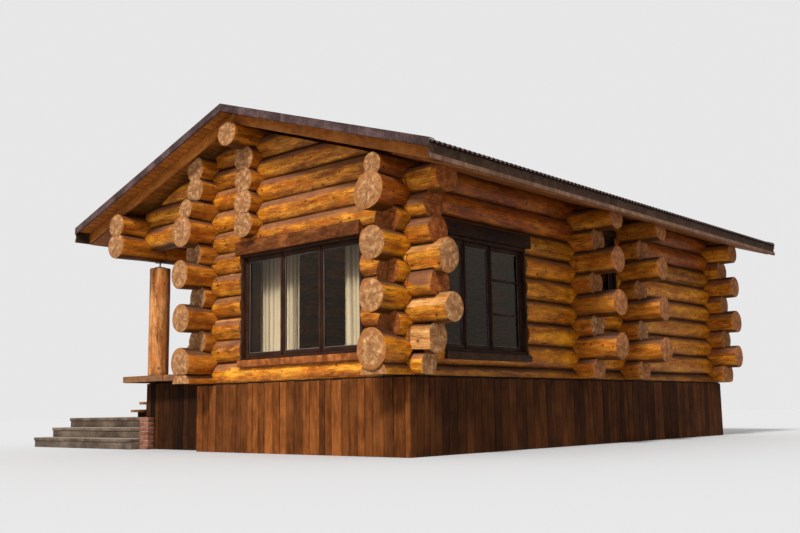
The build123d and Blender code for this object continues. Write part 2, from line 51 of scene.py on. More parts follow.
# Sizes shared by several pieces, in metres, as the frame has them.
cabin = {
    "logRadius": 0.2,
    "course": 0.325,
    "logBase": 0.99,
    "firstCourse": 0.133,
    "frontY": -4.435,
    "hallFrontY": -0.605,
    "hallRearY": 0.815,
    "rearY": 4.165,
    "rightX": 3.915,
    "leftX": 0.075,
    "beamX": -1.705,
    "ridgeX": 1.105,
    "pitch": math.radians(18.3),
    "ridgeBearing": 4.6899,
    "soffitGap": -0.022,
}
wallTopCourse = 7
leftTopCourse = 9
gableTopCourse = 10
sine, cosine = math.sin(cabin["pitch"]), math.cos(cabin["pitch"])


def crossHeight(k):
    return cabin["logBase"] + cabin["firstCourse"] + k * cabin["course"]


def sideHeight(k):
    return crossHeight(k) + cabin["course"] / 2


def clearSelection():
    bpy.ops.object.select_all(action="DESELECT")


def pick(piece):
    clearSelection()
    piece.select_set(True)
    bpy.context.view_layer.objects.active = piece


def applyPlace():
    bpy.ops.object.transform_apply(location=True, rotation=True, scale=True)


def setTone(piece, tone):
    mesh = piece.data
    layer = mesh.attributes.get("tone") or mesh.attributes.new("tone", "FLOAT", "POINT")
    layer.data.foreach_set("value", [tone] * len(mesh.vertices))


def addTurned(middle, size, turn, finish=None, tone=0.0, along=None):
    bpy.ops.mesh.primitive_cube_add(size=1, location=middle, rotation=turn, scale=size)
    piece = bpy.context.object
    # the board's own coordinates, with its grain first, stay with it as an attribute
    first = list(size).index(max(size)) if along is None else along
    order = [first] + [i for i in range(3) if i != first]
    grain = [vertex.co[i] * size[i] for vertex in piece.data.vertices for i in order]
    layer = piece.data.attributes.new("grain", "FLOAT_VECTOR", "POINT")
    layer.data.foreach_set("vector", grain)
    applyPlace()
    setTone(piece, tone)
    if finish:
        piece.data.materials.append(finish)
    return piece


def addBlock(low, high, finish=None, tone=0.0, along=None):
    middle = [(a + b) / 2 for a, b in zip(low, high)]
    size = [abs(b - a) for a, b in zip(low, high)]
    return addTurned(middle, size, (0, 0, 0), finish, tone, along)


def addBoard(x, y, z, finish=None, tone=0.0, along=None):
    return addBlock(*zip(x, y, z), finish, tone, along)


def wallBlock(window, along, height, reach, finish=None, tone=0.0):
    # a block in a window's wall; reach is measured outward from the wall's middle line
    spans = [None, None, height]
    spans[window["axis"]] = along
    spans[1 - window["axis"]] = sorted(window["wallAt"] + window["outward"] * far for far in reach)
    return addBoard(*spans, finish, tone)


def slopeBlock(side, along, lift, ySpan, finish=None, tone=0.0):
    # along is measured down the slope from the ridge, lift square to it from the rafters' seat
    t = (along[0] + along[1]) / 2
    h = (lift[0] + lift[1]) / 2
    middle = (
        cabin["ridgeX"] + side * (t * cosine + h * sine),
        (ySpan[0] + ySpan[1]) / 2,
        cabin["ridgeBearing"] - t * sine + h * cosine,
    )
    size = (along[1] - along[0], ySpan[1] - ySpan[0], lift[1] - lift[0])
    return addTurned(middle, size, (0, side * cabin["pitch"], 0), finish, tone)


def trimUpright(piece, distance, side, outer):
    # cuts a piece of the roof on an upright plane at a distance from the ridge
    pick(piece)
    bpy.ops.object.mode_set(mode="EDIT")
    bpy.ops.mesh.select_all(action="SELECT")
    bpy.ops.mesh.bisect(
        plane_co=(cabin["ridgeX"] + side * distance, 0, 0),
        plane_no=(side, 0, 0),
        use_fill=True,
        clear_inner=not outer,
        clear_outer=outer,
    )
    bpy.ops.object.mode_set(mode="OBJECT")


def roofPiece(side, inner, outer, lift, ySpan, finish=None, tone=0.0):
    # inner and outer are level distances from the ridge, as the frame states them
    long = (inner / cosine - 0.1, outer / cosine + 0.1)
    piece = slopeBlock(side, long, lift, ySpan, finish, tone)
    trimUpright(piece, inner, side, False)
    trimUpright(piece, outer, side, True)
    return piece


def joinPieces(pieces, name):
    clearSelection()
    for piece in pieces:
        piece.select_set(True)
    bpy.context.view_layer.objects.active = pieces[0]
    if len(pieces) > 1:
        bpy.ops.object.join()
    piece = bpy.context.view_layer.objects.active
    piece.name = name
    piece.data.name = name
    return piece


def useModifier(piece, kind, **settings):
    pick(piece)
    modifier = piece.modifiers.new("step", kind)
    for key, value in settings.items():
        setattr(modifier, key, value)
    bpy.ops.object.modifier_apply(modifier=modifier.name)


def bevelEdges(piece, width, segments=1):
    sharp = {"limit_method": "ANGLE", "angle_limit": math.radians(40)}
    useModifier(piece, "BEVEL", width=width, segments=segments, **sharp)


def cutAway(piece, cutter):
    useModifier(piece, "BOOLEAN", operation="DIFFERENCE", solver="MANIFOLD", object=cutter)


def removePieces(pieces):
    for piece in pieces:
        bpy.data.objects.remove(piece)


def placePiece(piece, slot, *replaced, smooth=35):
    pick(piece)
    bpy.ops.object.shade_smooth_by_angle(angle=math.radians(smooth))
    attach(piece, "root")
    if replaced:
        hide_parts(*replaced)
    print("made", piece.name, len(piece.data.polygons))


def closePiece(parts, name, slot, *replaced, bevel=None, segments=1, smooth=35):
    piece = joinPieces(parts, name)
    if bevel:
        bevelEdges(piece, bevel, segments)
    placePiece(piece, slot, *replaced, smooth=smooth)


# Material helpers: one call adds one node and links or sets its sockets.
def newFinish(name):
    finish = bpy.data.materials.new(name)
    finish.use_nodes = True
    finish.node_tree.nodes.clear()
    return finish, finish.node_tree


def addNode(tree, kind, inputs=None, **settings):
    node = tree.nodes.new(kind)
    for key, value in settings.items():
        setattr(node, key, value)
    for key, value in (inputs or {}).items():
        if isinstance(value, bpy.types.NodeSocket):
            tree.links.new(value, node.inputs[key])
        else:
            node.inputs[key].default_value = value
    return node


def calc(tree, operation, *values):
    return addNode(tree, "ShaderNodeMath", dict(enumerate(values)), operation=operation).outputs[0]


def vectorCalc(tree, operation, first, second):
    return addNode(tree, "ShaderNodeVectorMath", {0: first, 1: second}, operation=operation).outputs[0]


def noiseAt(tree, place, scale, detail=2.0, rough=0.5):
    inputs = {"Vector": place, "Scale": scale, "Detail": detail, "Roughness": rough}
    return addNode(tree, "ShaderNodeTexNoise", inputs).outputs[0]


def between(tree, value, low, high):
    inputs = {"Value": value, "From Min": low, "From Max": high}
    return addNode(tree, "ShaderNodeMapRange", inputs, interpolation_type="SMOOTHSTEP").outputs[0]


def beyond(tree, value, low, high):
    return calc(tree, "SUBTRACT", 1.0, between(tree, value, low, high))


def blended(tree, first, second, share):
    return calc(tree, "ADD", calc(tree, "MULTIPLY", first, share), calc(tree, "MULTIPLY", second, 1 - share))


def stretchedNoise(tree, place, stretch, detail=3.0, rough=0.6):
    return noiseAt(tree, vectorCalc(tree, "MULTIPLY", place, stretch), 1.0, detail, rough)


def mixColour(tree, share, first, second, blend="MIX"):
    inputs = {0: share, 6: first, 7: second}
    return addNode(tree, "ShaderNodeMix", inputs, data_type="RGBA", blend_type=blend).outputs[2]


def overlay(tree, colour, amount, share, over, blend="MIX"):
    # lays another colour over by an amount from 0 to 1, of which a share counts
    return mixColour(tree, calc(tree, "MULTIPLY", amount, share), colour, opaque(over), blend)


def facingUp(tree):
    normal = addNode(tree, "ShaderNodeNewGeometry").outputs["Normal"]
    return addNode(tree, "ShaderNodeSeparateXYZ", {"Vector": normal}).outputs["Z"]


def ramp(tree, value, colours, places=(0.0, 0.5, 1.0)):
    node = addNode(tree, "ShaderNodeValToRGB", {"Fac": value})
    elements = node.color_ramp.elements
    while len(elements) < len(colours):
        elements.new(0.5)
    for element, place, colour in zip(elements, places, colours):
        element.position = place
        element.color = (*colour, 1)
    return node.outputs["Color"]


def opaque(colour):
    return (*colour, 1)


def shaded(tree, colour, amount, span):
    # darker or lighter by an amount from 0 to 1, over a span about the colour itself
    value = calc(tree, "MULTIPLY_ADD", amount, span, 1.0 - span / 2)
    return addNode(tree, "ShaderNodeHueSaturation", {"Color": colour, "Value": value}).outputs[0]


def shiftedPlace(tree, place, tone):
    shift = {"X": calc(tree, "MULTIPLY", tone, 37.0), "Y": calc(tree, "MULTIPLY", tone, 13.0)}
    return vectorCalc(tree, "ADD", place, addNode(tree, "ShaderNodeCombineXYZ", shift).outputs[0])


def toneOf(tree):
    return addNode(tree, "ShaderNodeAttribute", attribute_name="tone").outputs["Fac"]


def closeFinish(tree, colour, roughness, height, depth, **constants):
    bump = addNode(tree, "ShaderNodeBump", {"Strength": 0.8, "Distance": depth, "Height": height})
    inputs = {"Base Color": colour, "Roughness": roughness, "Normal": bump.outputs[0]}
    shader = addNode(tree, "ShaderNodeBsdfPrincipled", inputs)
    for key, value in {"Specular IOR Level": 0.2, **constants}.items():
        shader.inputs[key].default_value = value
    addNode(tree, "ShaderNodeOutputMaterial", {"Surface": shader.outputs[0]})


def logFinish(name, look):
    finish, tree = newFinish(name)
    tone = toneOf(tree)
    flat = addNode(tree, "ShaderNodeUVMap", uv_map="logMap").outputs[0]
    place = shiftedPlace(tree, flat, tone)
    broad = stretchedNoise(tree, place, (1.1, 9, 1))
    fine = stretchedNoise(tree, place, (5, 110, 1))
    patches = stretchedNoise(tree, place, (2.2, 4.5, 1), 3.0, 0.55)
    grain = between(tree, blended(tree, broad, fine, 0.55), 0.37, 0.63)
    colour = ramp(tree, grain, [look["dark"], look["honey"], look["light"]])
    colour = overlay(tree, colour, between(tree, patches, 0.42, 0.7), look["redness"], look["red"])
    # small dark specks and short flecks, as the stain leaves them
    speck = between(tree, stretchedNoise(tree, place, (45, 130, 1), 2.0), 0.56, 0.66)
    colour = overlay(tree, colour, speck, look["specks"], look["dark"], "MULTIPLY")
    pale = between(tree, stretchedNoise(tree, place, (9, 60, 1), 2.0), 0.55, 0.7)
    colour = overlay(tree, colour, pale, look["flecks"], look["light"])
    mottle = stretchedNoise(tree, place, (4, 9, 1), 4.0, 0.7)
    colour = shaded(tree, colour, between(tree, mottle, 0.36, 0.66), look["mottle"])
    # knots: round spots of their own size, with a darker ring about them
    inputs = {"Vector": place, "Scale": look["knots"]}
    cells = addNode(tree, "ShaderNodeTexVoronoi", inputs, voronoi_dimensions="2D")
    chance = addNode(tree, "ShaderNodeSeparateColor", {"Color": cells.outputs["Color"]}).outputs[0]
    size = calc(tree, "MULTIPLY_ADD", calc(tree, "POWER", chance, 2.2), 0.085, 0.012)
    reach = calc(tree, "DIVIDE", cells.outputs["Distance"], size)
    knot = beyond(tree, reach, 0.65, 1.05)
    colour = overlay(tree, colour, beyond(tree, reach, 0.9, 2.6), 0.55, look["dark"])
    colour = overlay(tree, colour, knot, 0.9, look["knot"])
    # dust and grey on whatever faces up
    ragged = calc(tree, "MULTIPLY_ADD", patches, 0.4, calc(tree, "MULTIPLY_ADD", fine, 0.3, -0.35))
    up = calc(tree, "ADD", facingUp(tree), ragged)
    facing = between(tree, up, look["weatherFrom"], look["weatherTo"])
    grey = mixColour(tree, fine, opaque(look["weatherDark"]), opaque(look["weatherLight"]))
    colour = mixColour(tree, calc(tree, "MULTIPLY", facing, look["weather"]), colour, grey)
    # painted shade towards the seams with the logs above and below
    turned = addNode(tree, "ShaderNodeSeparateXYZ", {"Vector": flat}).outputs["Y"]
    lean = calc(tree, "COSINE", calc(tree, "DIVIDE", turned, cabin["logRadius"]))
    seam = calc(tree, "MULTIPLY_ADD", patches, 0.16, calc(tree, "ABSOLUTE", lean))
    seam = between(tree, seam, look["seamFrom"], 0.93)
    colour = overlay(tree, colour, seam, look["seam"], look["seamShade"])
    # drying cracks along the log
    line = stretchedNoise(tree, place, (0.8, 15, 1), 1.0, 0.5)
    crack = beyond(tree, calc(tree, "ABSOLUTE", calc(tree, "SUBTRACT", line, 0.5)), 0.002, 0.011)
    where = noiseAt(tree, vectorCalc(tree, "MULTIPLY", place, (0.9, 2.1, 1)), 1.3)
    crack = calc(tree, "MULTIPLY", crack, between(tree, where, 0.56, 0.62))
    colour = overlay(tree, colour, crack, 0.85, look["crack"])
    colour = shaded(tree, colour, tone, look["toneSpan"])
    height = calc(tree, "MULTIPLY_ADD", fine, 0.35, calc(tree, "MULTIPLY", broad, 0.5))
    height = calc(tree, "MULTIPLY_ADD", knot, 0.35, height)
    height = calc(tree, "MULTIPLY_ADD", crack, -1.2, height)
    roughness = calc(tree, "MULTIPLY_ADD", facing, 0.3, 0.5)
    closeFinish(tree, colour, roughness, height, 0.006)
    return finish


def endFinish(name, look):
    finish, tree = newFinish(name)
    tone = toneOf(tree)
    flat = addNode(tree, "ShaderNodeUVMap", uv_map="logMap").outputs[0]
    place = shiftedPlace(tree, flat, tone)
    sides = addNode(tree, "ShaderNodeSeparateXYZ", {"Vector": flat})
    wander = noiseAt(tree, place, 9.0, 2.0)
    radius = addNode(tree, "ShaderNodeVectorMath", {0: flat}, operation="LENGTH").outputs["Value"]
    ringAt = calc(tree, "MULTIPLY_ADD", wander, 0.035, radius)
    ring = calc(tree, "SINE", calc(tree, "MULTIPLY", ringAt, 2 * math.pi / look["ring"]))
    blotch = noiseAt(tree, place, 14.0, 4.0, 0.65)
    speck = noiseAt(tree, place, 130.0, 2.0, 0.6)
    mixed = calc(tree, "MULTIPLY_ADD", ring, 0.07, calc(tree, "MULTIPLY_ADD", speck, 0.45, blotch))
    colours = [look["dark"], look["middle"], look["pale"]]
    colour = ramp(tree, between(tree, mixed, 0.5, 1.0), colours, (0.0, 0.55, 1.0))
    colour = overlay(tree, colour, beyond(tree, ringAt, 0.02, 0.11), 0.45, look["heart"])
    colour = overlay(tree, colour, between(tree, radius, 0.165, 0.2), 0.6, look["rim"])
    # cracks out from the heart
    turn = calc(tree, "ARCTAN2", sides.outputs[0], sides.outputs[1])
    around = calc(tree, "MULTIPLY_ADD", tone, 90.0, calc(tree, "MULTIPLY", turn, 1.7))
    inputs = {"W": around, "Scale": 1.6}
    spoke = addNode(tree, "ShaderNodeTexNoise", inputs, noise_dimensions="1D").outputs[0]
    off = calc(tree, "ABSOLUTE", calc(tree, "SUBTRACT", spoke, 0.5))
    width = calc(tree, "DIVIDE", 0.0005, calc(tree, "MAXIMUM", radius, 0.03))
    crack = calc(tree, "MULTIPLY", calc(tree, "LESS_THAN", off, width), between(tree, blotch, 0.42, 0.52))
    colour = overlay(tree, colour, crack, 0.85, look["crack"])
    old = calc(tree, "MULTIPLY_ADD", tone, 0.9, calc(tree, "MULTIPLY", blotch, 0.5))
    colour = overlay(tree, colour, between(tree, old, 0.55, 1.0), look["greyness"], look["grey"])
    height = calc(tree, "MULTIPLY_ADD", ring, 0.12, calc(tree, "MULTIPLY_ADD", speck, 0.6, blotch))
    height = calc(tree, "MULTIPLY_ADD", crack, -1.5, height)
    closeFinish(tree, colour, 0.85, height, 0.005)
    return finish


def boardFinish(name, look, along=None):
    # along is the axis of the grain, for the frame's own pieces; boards made here carry their grain
    finish, tree = newFinish(name)
    tone = toneOf(tree)
    flat = addNode(tree, "ShaderNodeTexCoord").outputs["Object"]
    if along is None:
        along = 0
        flat = addNode(tree, "ShaderNodeAttribute", attribute_name="grain").outputs["Vector"]
    place = shiftedPlace(tree, flat, tone)
    broadScale = [14.0] * 3
    fineScale = [120.0] * 3
    broadScale[along] = 0.9
    fineScale[along] = 4.0
    broad = stretchedNoise(tree, place, broadScale)
    fine = stretchedNoise(tree, place, fineScale)
    patches = noiseAt(tree, place, 1.7, 3.0, 0.6)
    grain = between(tree, blended(tree, broad, fine, 0.5), 0.3, 0.7)
    colour = ramp(tree, grain, [look["dark"], look["middle"], look["light"]])
    cells = addNode(tree, "ShaderNodeTexVoronoi", {"Vector": place, "Scale": 5.0})
    knot = beyond(tree, cells.outputs["Distance"], 0.06, 0.12)
    colour = overlay(tree, colour, knot, look["knots"], look["knot"])
    colour = overlay(tree, colour, between(tree, patches, 0.4, 0.7), look["fading"], look["faded"])
    colour = shaded(tree, colour, tone, look["toneSpan"])
    height = calc(tree, "MULTIPLY_ADD", fine, 0.5, broad)
    roughness = calc(tree, "MULTIPLY_ADD", patches, 0.2, look["rough"])
    gloss = {"Specular IOR Level": look.get("gloss", 0.2)}
    closeFinish(tree, colour, roughness, height, look["relief"], **gloss)
    return finish


def coarseFinish(name, look):
    # stone, brick, sheet and painted metal: two scales of patches and a fine grain
    finish, tree = newFinish(name)
    tone = toneOf(tree)
    place = shiftedPlace(tree, addNode(tree, "ShaderNodeTexCoord").outputs["Object"], tone)
    large = noiseAt(tree, place, look["large"], 4.0, 0.6)
    small = noiseAt(tree, place, look["small"], 3.0, 0.65)
    mixed = blended(tree, large, small, 0.6)
    colour = ramp(tree, between(tree, mixed, 0.35, 0.65), [look["dark"], look["middle"], look["light"]])
    colour = overlay(tree, colour, between(tree, facingUp(tree), 0.4, 0.9), look["dust"], look["dusty"])
    colour = shaded(tree, colour, tone, 0.3)
    roughness = calc(tree, "MULTIPLY_ADD", small, 0.2, look["rough"])
    closeFinish(tree, colour, roughness, mixed, look["relief"], Metallic=look.get("metal", 0.0))
    return finish


def glassFinish(name):
    finish, tree = newFinish(name)
    inputs = {
        "Base Color": (0.62, 0.55, 0.45, 1),
        "Roughness": 0.02,
        "IOR": 1.5,
        "Transmission Weight": 1.0,
        "Specular Tint": (0.85, 0.68, 0.5, 1),
    }
    pane = addNode(tree, "ShaderNodeBsdfPrincipled", inputs)
    # shadow rays pass, so that daylight reaches the curtains
    clear = addNode(tree, "ShaderNodeBsdfTransparent", {"Color": (0.95, 0.9, 0.8, 1)})
    rays = addNode(tree, "ShaderNodeLightPath")
    shares = {0: rays.outputs["Is Shadow Ray"], 1: pane.outputs[0], 2: clear.outputs[0]}
    mixed = addNode(tree, "ShaderNodeMixShader", shares)
    addNode(tree, "ShaderNodeOutputMaterial", {"Surface": mixed.outputs[0]})
    return finish


def clothFinish(name):
    finish, tree = newFinish(name)
    flat = addNode(tree, "ShaderNodeUVMap", uv_map="clothMap").outputs[0]
    threads = stretchedNoise(tree, flat, (900, 900, 1), 1.0, 0.5)
    slub = stretchedNoise(tree, flat, (260, 9, 1), 2.0, 0.5)
    mixed = blended(tree, threads, slub, 0.5)
    colour = ramp(tree, mixed, [(0.72, 0.69, 0.63), (0.92, 0.9, 0.85)], (0.2, 0.8))
    # painted shade: the sheer cloth is darker in the back of its folds
    fold = addNode(tree, "ShaderNodeAttribute", attribute_name="fold").outputs["Fac"]
    fold = between(tree, fold, 0.0, 0.75)
    colour = mixColour(tree, fold, opaque((0.42, 0.4, 0.35)), colour)
    closeFinish(tree, colour, 0.9, mixed, 0.0008, **{"Sheen Weight": 0.25})
    return finish


honeyLook = {
    "dark": (0.22, 0.05, 0.003),
    "honey": (0.43, 0.132, 0.008),
    "light": (0.60, 0.24, 0.028),
    "red": (0.33, 0.07, 0.004),
    "redness": 0.7,
    "specks": 0.82,
    "flecks": 0.55,
    "knot": (0.04, 0.011, 0.003),
    "knots": 5.0,
    "weatherDark": (0.06, 0.022, 0.009),
    "weatherLight": (0.18, 0.082, 0.042),
    "weather": 0.92,
    "weatherFrom": 0.4,
    "weatherTo": 0.6,
    "seam": 0.85,
    "seamFrom": 0.72,
    "seamShade": (0.035, 0.011, 0.003),
    "mottle": 0.5,
    "crack": (0.02, 0.007, 0.003),
    "toneSpan": 0.36,
}
paleLook = dict(
    honeyLook,
    dark=(0.2, 0.05, 0.002),
    honey=(0.44, 0.138, 0.003),
    light=(0.64, 0.27, 0.012),
    red=(0.33, 0.075, 0.002),
    redness=0.6,
    seam=0.95,
    seamFrom=0.58,
    seamShade=(0.05, 0.012, 0.001),
    weather=0.7,
)
cleanLook = dict(
    honeyLook,
    dark=(0.2, 0.045, 0.003),
    honey=(0.5, 0.155, 0.007),
    light=(0.74, 0.32, 0.03),
    weather=0.7,
    weatherDark=(0.08, 0.03, 0.015),
    weatherLight=(0.25, 0.115, 0.07),
    weatherFrom=0.14,
    weatherTo=0.42,
    mottle=0.6,
)
# logs under the eave: darker and redder, as painted shade
eaveShadeLook = dict(
    paleLook,
    dark=(0.12, 0.02, 0.001),
    honey=(0.27, 0.06, 0.002),
    light=(0.42, 0.12, 0.006),
    red=(0.2, 0.032, 0.001),
    weather=0.4,
    seamFrom=0.68,
)
postLook = dict(
    honeyLook,
    dark=(0.28, 0.085, 0.014),
    honey=(0.46, 0.18, 0.05),
    light=(0.62, 0.3, 0.11),
    redness=0.5,
    seam=0.0,
    weather=0.0,
)
# hewn flats: paler fresh-cut wood, partly painted sunlight on the flats
hewnLook = dict(
    honeyLook,
    dark=(0.3, 0.1, 0.02),
    honey=(0.58, 0.25, 0.06),
    light=(0.78, 0.45, 0.17),
    redness=0.4,
    weather=0.0,
    seam=0.3,
)
endLook = {
    "ring": 0.012,
    "dark": (0.2, 0.07, 0.02),
    "middle": (0.42, 0.19, 0.07),
    "pale": (0.76, 0.45, 0.2),
    "heart": (0.30, 0.11, 0.033),
    "rim": (0.33, 0.11, 0.018),
    "crack": (0.045, 0.016, 0.007),
    "grey": (0.19, 0.095, 0.048),
    "greyness": 0.1,
}
brownLook = dict(
    endLook,
    dark=(0.17, 0.05, 0.012),
    middle=(0.33, 0.12, 0.035),
    pale=(0.55, 0.25, 0.09),
    heart=(0.24, 0.08, 0.02),
    rim=(0.26, 0.08, 0.012),
    grey=(0.2, 0.08, 0.03),
)
# sawn ends darker and redder: painted shade under the eave and between neighbouring logs
paintedShadeEndLook = dict(
    endLook,
    dark=(0.13, 0.025, 0.003),
    middle=(0.32, 0.082, 0.012),
    pale=(0.5, 0.16, 0.03),
    heart=(0.18, 0.045, 0.008),
    rim=(0.2, 0.05, 0.006),
    grey=(0.14, 0.05, 0.015),
)
orangeLook = {
    "dark": (0.2, 0.055, 0.007),
    "middle": (0.34, 0.105, 0.013),
    "light": (0.46, 0.165, 0.026),
    "knots": 0.7,
    "knot": (0.1, 0.025, 0.007),
    "fading": 0.25,
    "faded": (0.3, 0.1, 0.02),
    "toneSpan": 0.3,
    "rough": 0.5,
    "relief": 0.003,
}
skirtLook = dict(
    orangeLook,
    dark=(0.042, 0.0115, 0.002),
    middle=(0.088, 0.025, 0.0045),
    light=(0.165, 0.05, 0.011),
    knot=(0.02, 0.005, 0.001),
    knots=0.5,
    fading=0.45,
    faded=(0.19, 0.06, 0.014),
    toneSpan=1.3,
    rough=0.7,
    gloss=0.08,
)
trimLook = dict(
    orangeLook,
    dark=(0.011, 0.004, 0.002),
    middle=(0.03, 0.011, 0.005),
    light=(0.07, 0.026, 0.011),
    knot=(0.01, 0.004, 0.002),
    fading=0.3,
    faded=(0.065, 0.026, 0.012),
    rough=0.45,
    relief=0.002,
    gloss=0.12,
)
lintelLook = dict(
    trimLook,
    dark=(0.035, 0.008, 0.001),
    middle=(0.1, 0.027, 0.005),
    light=(0.22, 0.07, 0.015),
    fading=0.4,
    faded=(0.13, 0.042, 0.011),
    toneSpan=1.0,
    rough=0.55,
    relief=0.004,
)
deckLook = dict(
    orangeLook,
    dark=(0.09, 0.03, 0.009),
    middle=(0.19, 0.072, 0.023),
    light=(0.32, 0.145, 0.055),
    knot=(0.06, 0.022, 0.008),
    fading=0.6,
    faded=(0.2, 0.105, 0.055),
    rough=0.65,
    relief=0.003,
)
fasciaLook = dict(
    trimLook,
    dark=(0.02, 0.009, 0.005),
    middle=(0.044, 0.022, 0.012),
    light=(0.085, 0.045, 0.026),
    fading=0.5,
    faded=(0.075, 0.041, 0.025),
    rough=0.6,
)


def threeShades(look, dark, middle, light, **others):
    return dict(look, dark=dark, middle=middle, light=light, **others)


fasciaLipLook = threeShades(fasciaLook, (0.1, 0.05, 0.028), (0.17, 0.088, 0.05), (0.27, 0.15, 0.09))
soffitLook = threeShades(orangeLook, (0.12, 0.034, 0.006), (0.2, 0.062, 0.01), (0.3, 0.105, 0.02))
coreLook = threeShades(trimLook, (0.01, 0.006, 0.005), (0.015, 0.009, 0.007), (0.02, 0.012, 0.01))
floorLook = threeShades(orangeLook, (0.28, 0.16, 0.07), (0.42, 0.27, 0.13), (0.55, 0.38, 0.2))
sheetLook = {
    "large": 2.0,
    "small": 60.0,
    "dark": (0.028, 0.017, 0.015),
    "middle": (0.042, 0.026, 0.023),
    "light": (0.068, 0.043, 0.037),
    "dust": 0.25,
    "dusty": (0.1, 0.066, 0.055),
    "rough": 0.7,
    "relief": 0.002,
}
flashingLook = dict(
    sheetLook,
    large=3.5,
    small=40.0,
    dark=(0.024, 0.012, 0.011),
    middle=(0.058, 0.031, 0.028),
    light=(0.12, 0.07, 0.066),
    rough=0.5,
    relief=0.0015,
)
concreteLook = dict(
    sheetLook,
    large=2.5,
    small=45.0,
    dark=(0.055, 0.036, 0.024),
    middle=(0.115, 0.08, 0.056),
    light=(0.2, 0.145, 0.105),
    dust=0.6,
    dusty=(0.3, 0.245, 0.195),
    rough=0.75,
    relief=0.004,
)
brickLook = dict(
    sheetLook,
    large=6.0,
    small=70.0,
    dark=(0.13, 0.045, 0.026),
    middle=(0.24, 0.085, 0.046),
    light=(0.34, 0.15, 0.09),
    dust=0.2,
    dusty=(0.38, 0.23, 0.15),
    rough=0.75,
    relief=0.003,
)
mortarLook = threeShades(concreteLook, (0.2, 0.17, 0.14), (0.3, 0.26, 0.22), (0.42, 0.37, 0.32))
steelLook = dict(
    sheetLook,
    dark=(0.2, 0.2, 0.2),
    middle=(0.34, 0.34, 0.34),
    light=(0.5, 0.5, 0.5),
    dust=0.0,
    rough=0.35,
    relief=0.0005,
    metal=1.0,
)
railLook = threeShades(steelLook, (0.3, 0.29, 0.27), (0.45, 0.44, 0.42), (0.6, 0.58, 0.55), metal=0.0)
spacerLook = threeShades(railLook, (0.1, 0.1, 0.1), (0.16, 0.16, 0.16), (0.22, 0.22, 0.22))

honeyLogs = logFinish("honeyLogs", honeyLook)
paleLogs = logFinish("paleLogs", paleLook)
cleanLogs = logFinish("cleanLogs", cleanLook)
eaveShadeLogs = logFinish("eaveShadeLogs", eaveShadeLook)
postLogs = logFinish("postLogs", postLook)
hewnLogs = logFinish("hewnLogs", hewnLook)
sawnEnds = endFinish("sawnEnds", endLook)
brownEnds = endFinish("brownEnds", brownLook)
paintedShadeEnds = endFinish("paintedShadeEnds", paintedShadeEndLook)
orangeBoards = boardFinish("orangeBoards", orangeLook)
orangeRafters = boardFinish("orangeRafters", orangeLook, 0)
skirtBoards = boardFinish("skirtBoards", skirtLook)
skirtFrame = boardFinish("skirtFrame", skirtLook, 0)
darkTrim = boardFinish("darkTrim", trimLook)
lintelBoards = boardFinish("lintelBoards", lintelLook)
deckPlanks = boardFinish("deckPlanks", deckLook)
fasciaBoards = boardFinish("fasciaBoards", fasciaLook)
fasciaLip = boardFinish("fasciaLip", fasciaLipLook)
soffitBoards = boardFinish("soffitBoards", soffitLook)
floorSlab = boardFinish("floorSlab", floorLook, 1)
darkCore = boardFinish("darkCore", coreLook)
roofSheet = coarseFinish("roofSheet", sheetLook)
roofFlashing = coarseFinish("roofFlashing", flashingLook)
weatheredConcrete = coarseFinish("weatheredConcrete", concreteLook)
redBrick = coarseFinish("redBrick", brickLook)
mortar = coarseFinish("mortar", mortarLook)
galvanized = coarseFinish("galvanized", steelLook)
railPaint = coarseFinish("railPaint", railLook)
paneSpacer = coarseFinish("paneSpacer", spacerLook)
windowGlass = glassFinish("windowGlass")
sheerCloth = clothFinish("sheerCloth")
print("finishes ready")

# Camera, at the photograph's angle.
view = {
    "place": (11.773, -13.368, 0.587),
    "turn": (98.421, 0.8764, 41.8197),
    "lens": 43.15,
    "sensor": 36.0,
}
bpy.ops.object.camera_add(location=view["place"], rotation=[math.radians(a) for a in view["turn"]])
camera = bpy.context.object
camera.data.lens = view["lens"]
camera.data.sensor_width = view["sensor"]
bpy.context.scene.camera = camera

# Logs. spread is how much one log differs from the next, butt how much it tapers.
# swells are (amount, waves along, waves round, part of the seed) of the noises that make a log uneven.
logShape = {
    "sides": 32,
    "ring": 0.1,
    "spread": 0.02,
    "swells": [(0.022, 0.8, 0.5, 1), (0.014, 3.1, 1.6, 2), (0.008, 5.5, 3.4, 1), (0.035, 0.25, 1.1, 3)],
    "butt": 0.02,
    "endReach": 0.75,
    "bow": 0.009,
    "bowWave": 0.35,
    "rimBevel": 0.009,
    "endDepth": 0.02,
    "seamGap": 0.003,
    "saddleGap": 0.006,
    "saddleSides": 28,
    "slant": 0.05,
    "cutReach": 0.35,
    "cutHeight": 0.3,
    "cutPlay": 0.004,
    "cutMargin": 0.03,
    "facetBlock": (0.6, 0.4),
}
axisTurns = [(0, math.pi / 2, 0), (math.pi / 2, 0, 0), (0, 0, 0)]


def roundBar(axis, middle, span, radius, sides):
    place = list(middle)
    place[axis] = (span[0] + span[1]) / 2
    bpy.ops.mesh.primitive_cylinder_add(
        vertices=sides, radius=radius, depth=span[1] - span[0], location=place, rotation=axisTurns[axis]
    )
    applyPlace()
    return bpy.context.object


def subdivideAlong(piece, axis, cuts):
    pick(piece)
    bpy.ops.object.mode_set(mode="EDIT")
    bpy.ops.mesh.select_mode(type="EDGE")
    bpy.ops.mesh.select_all(action="DESELECT")
    mesh = bmesh.from_edit_mesh(piece.data)
    for edge in mesh.edges:
        edge.select = abs((edge.verts[1].co - edge.verts[0].co).normalized()[axis]) > 0.9
    bmesh.update_edit_mesh(piece.data)
    bpy.ops.mesh.subdivide(number_cuts=cuts)
    bpy.ops.object.mode_set(mode="OBJECT")


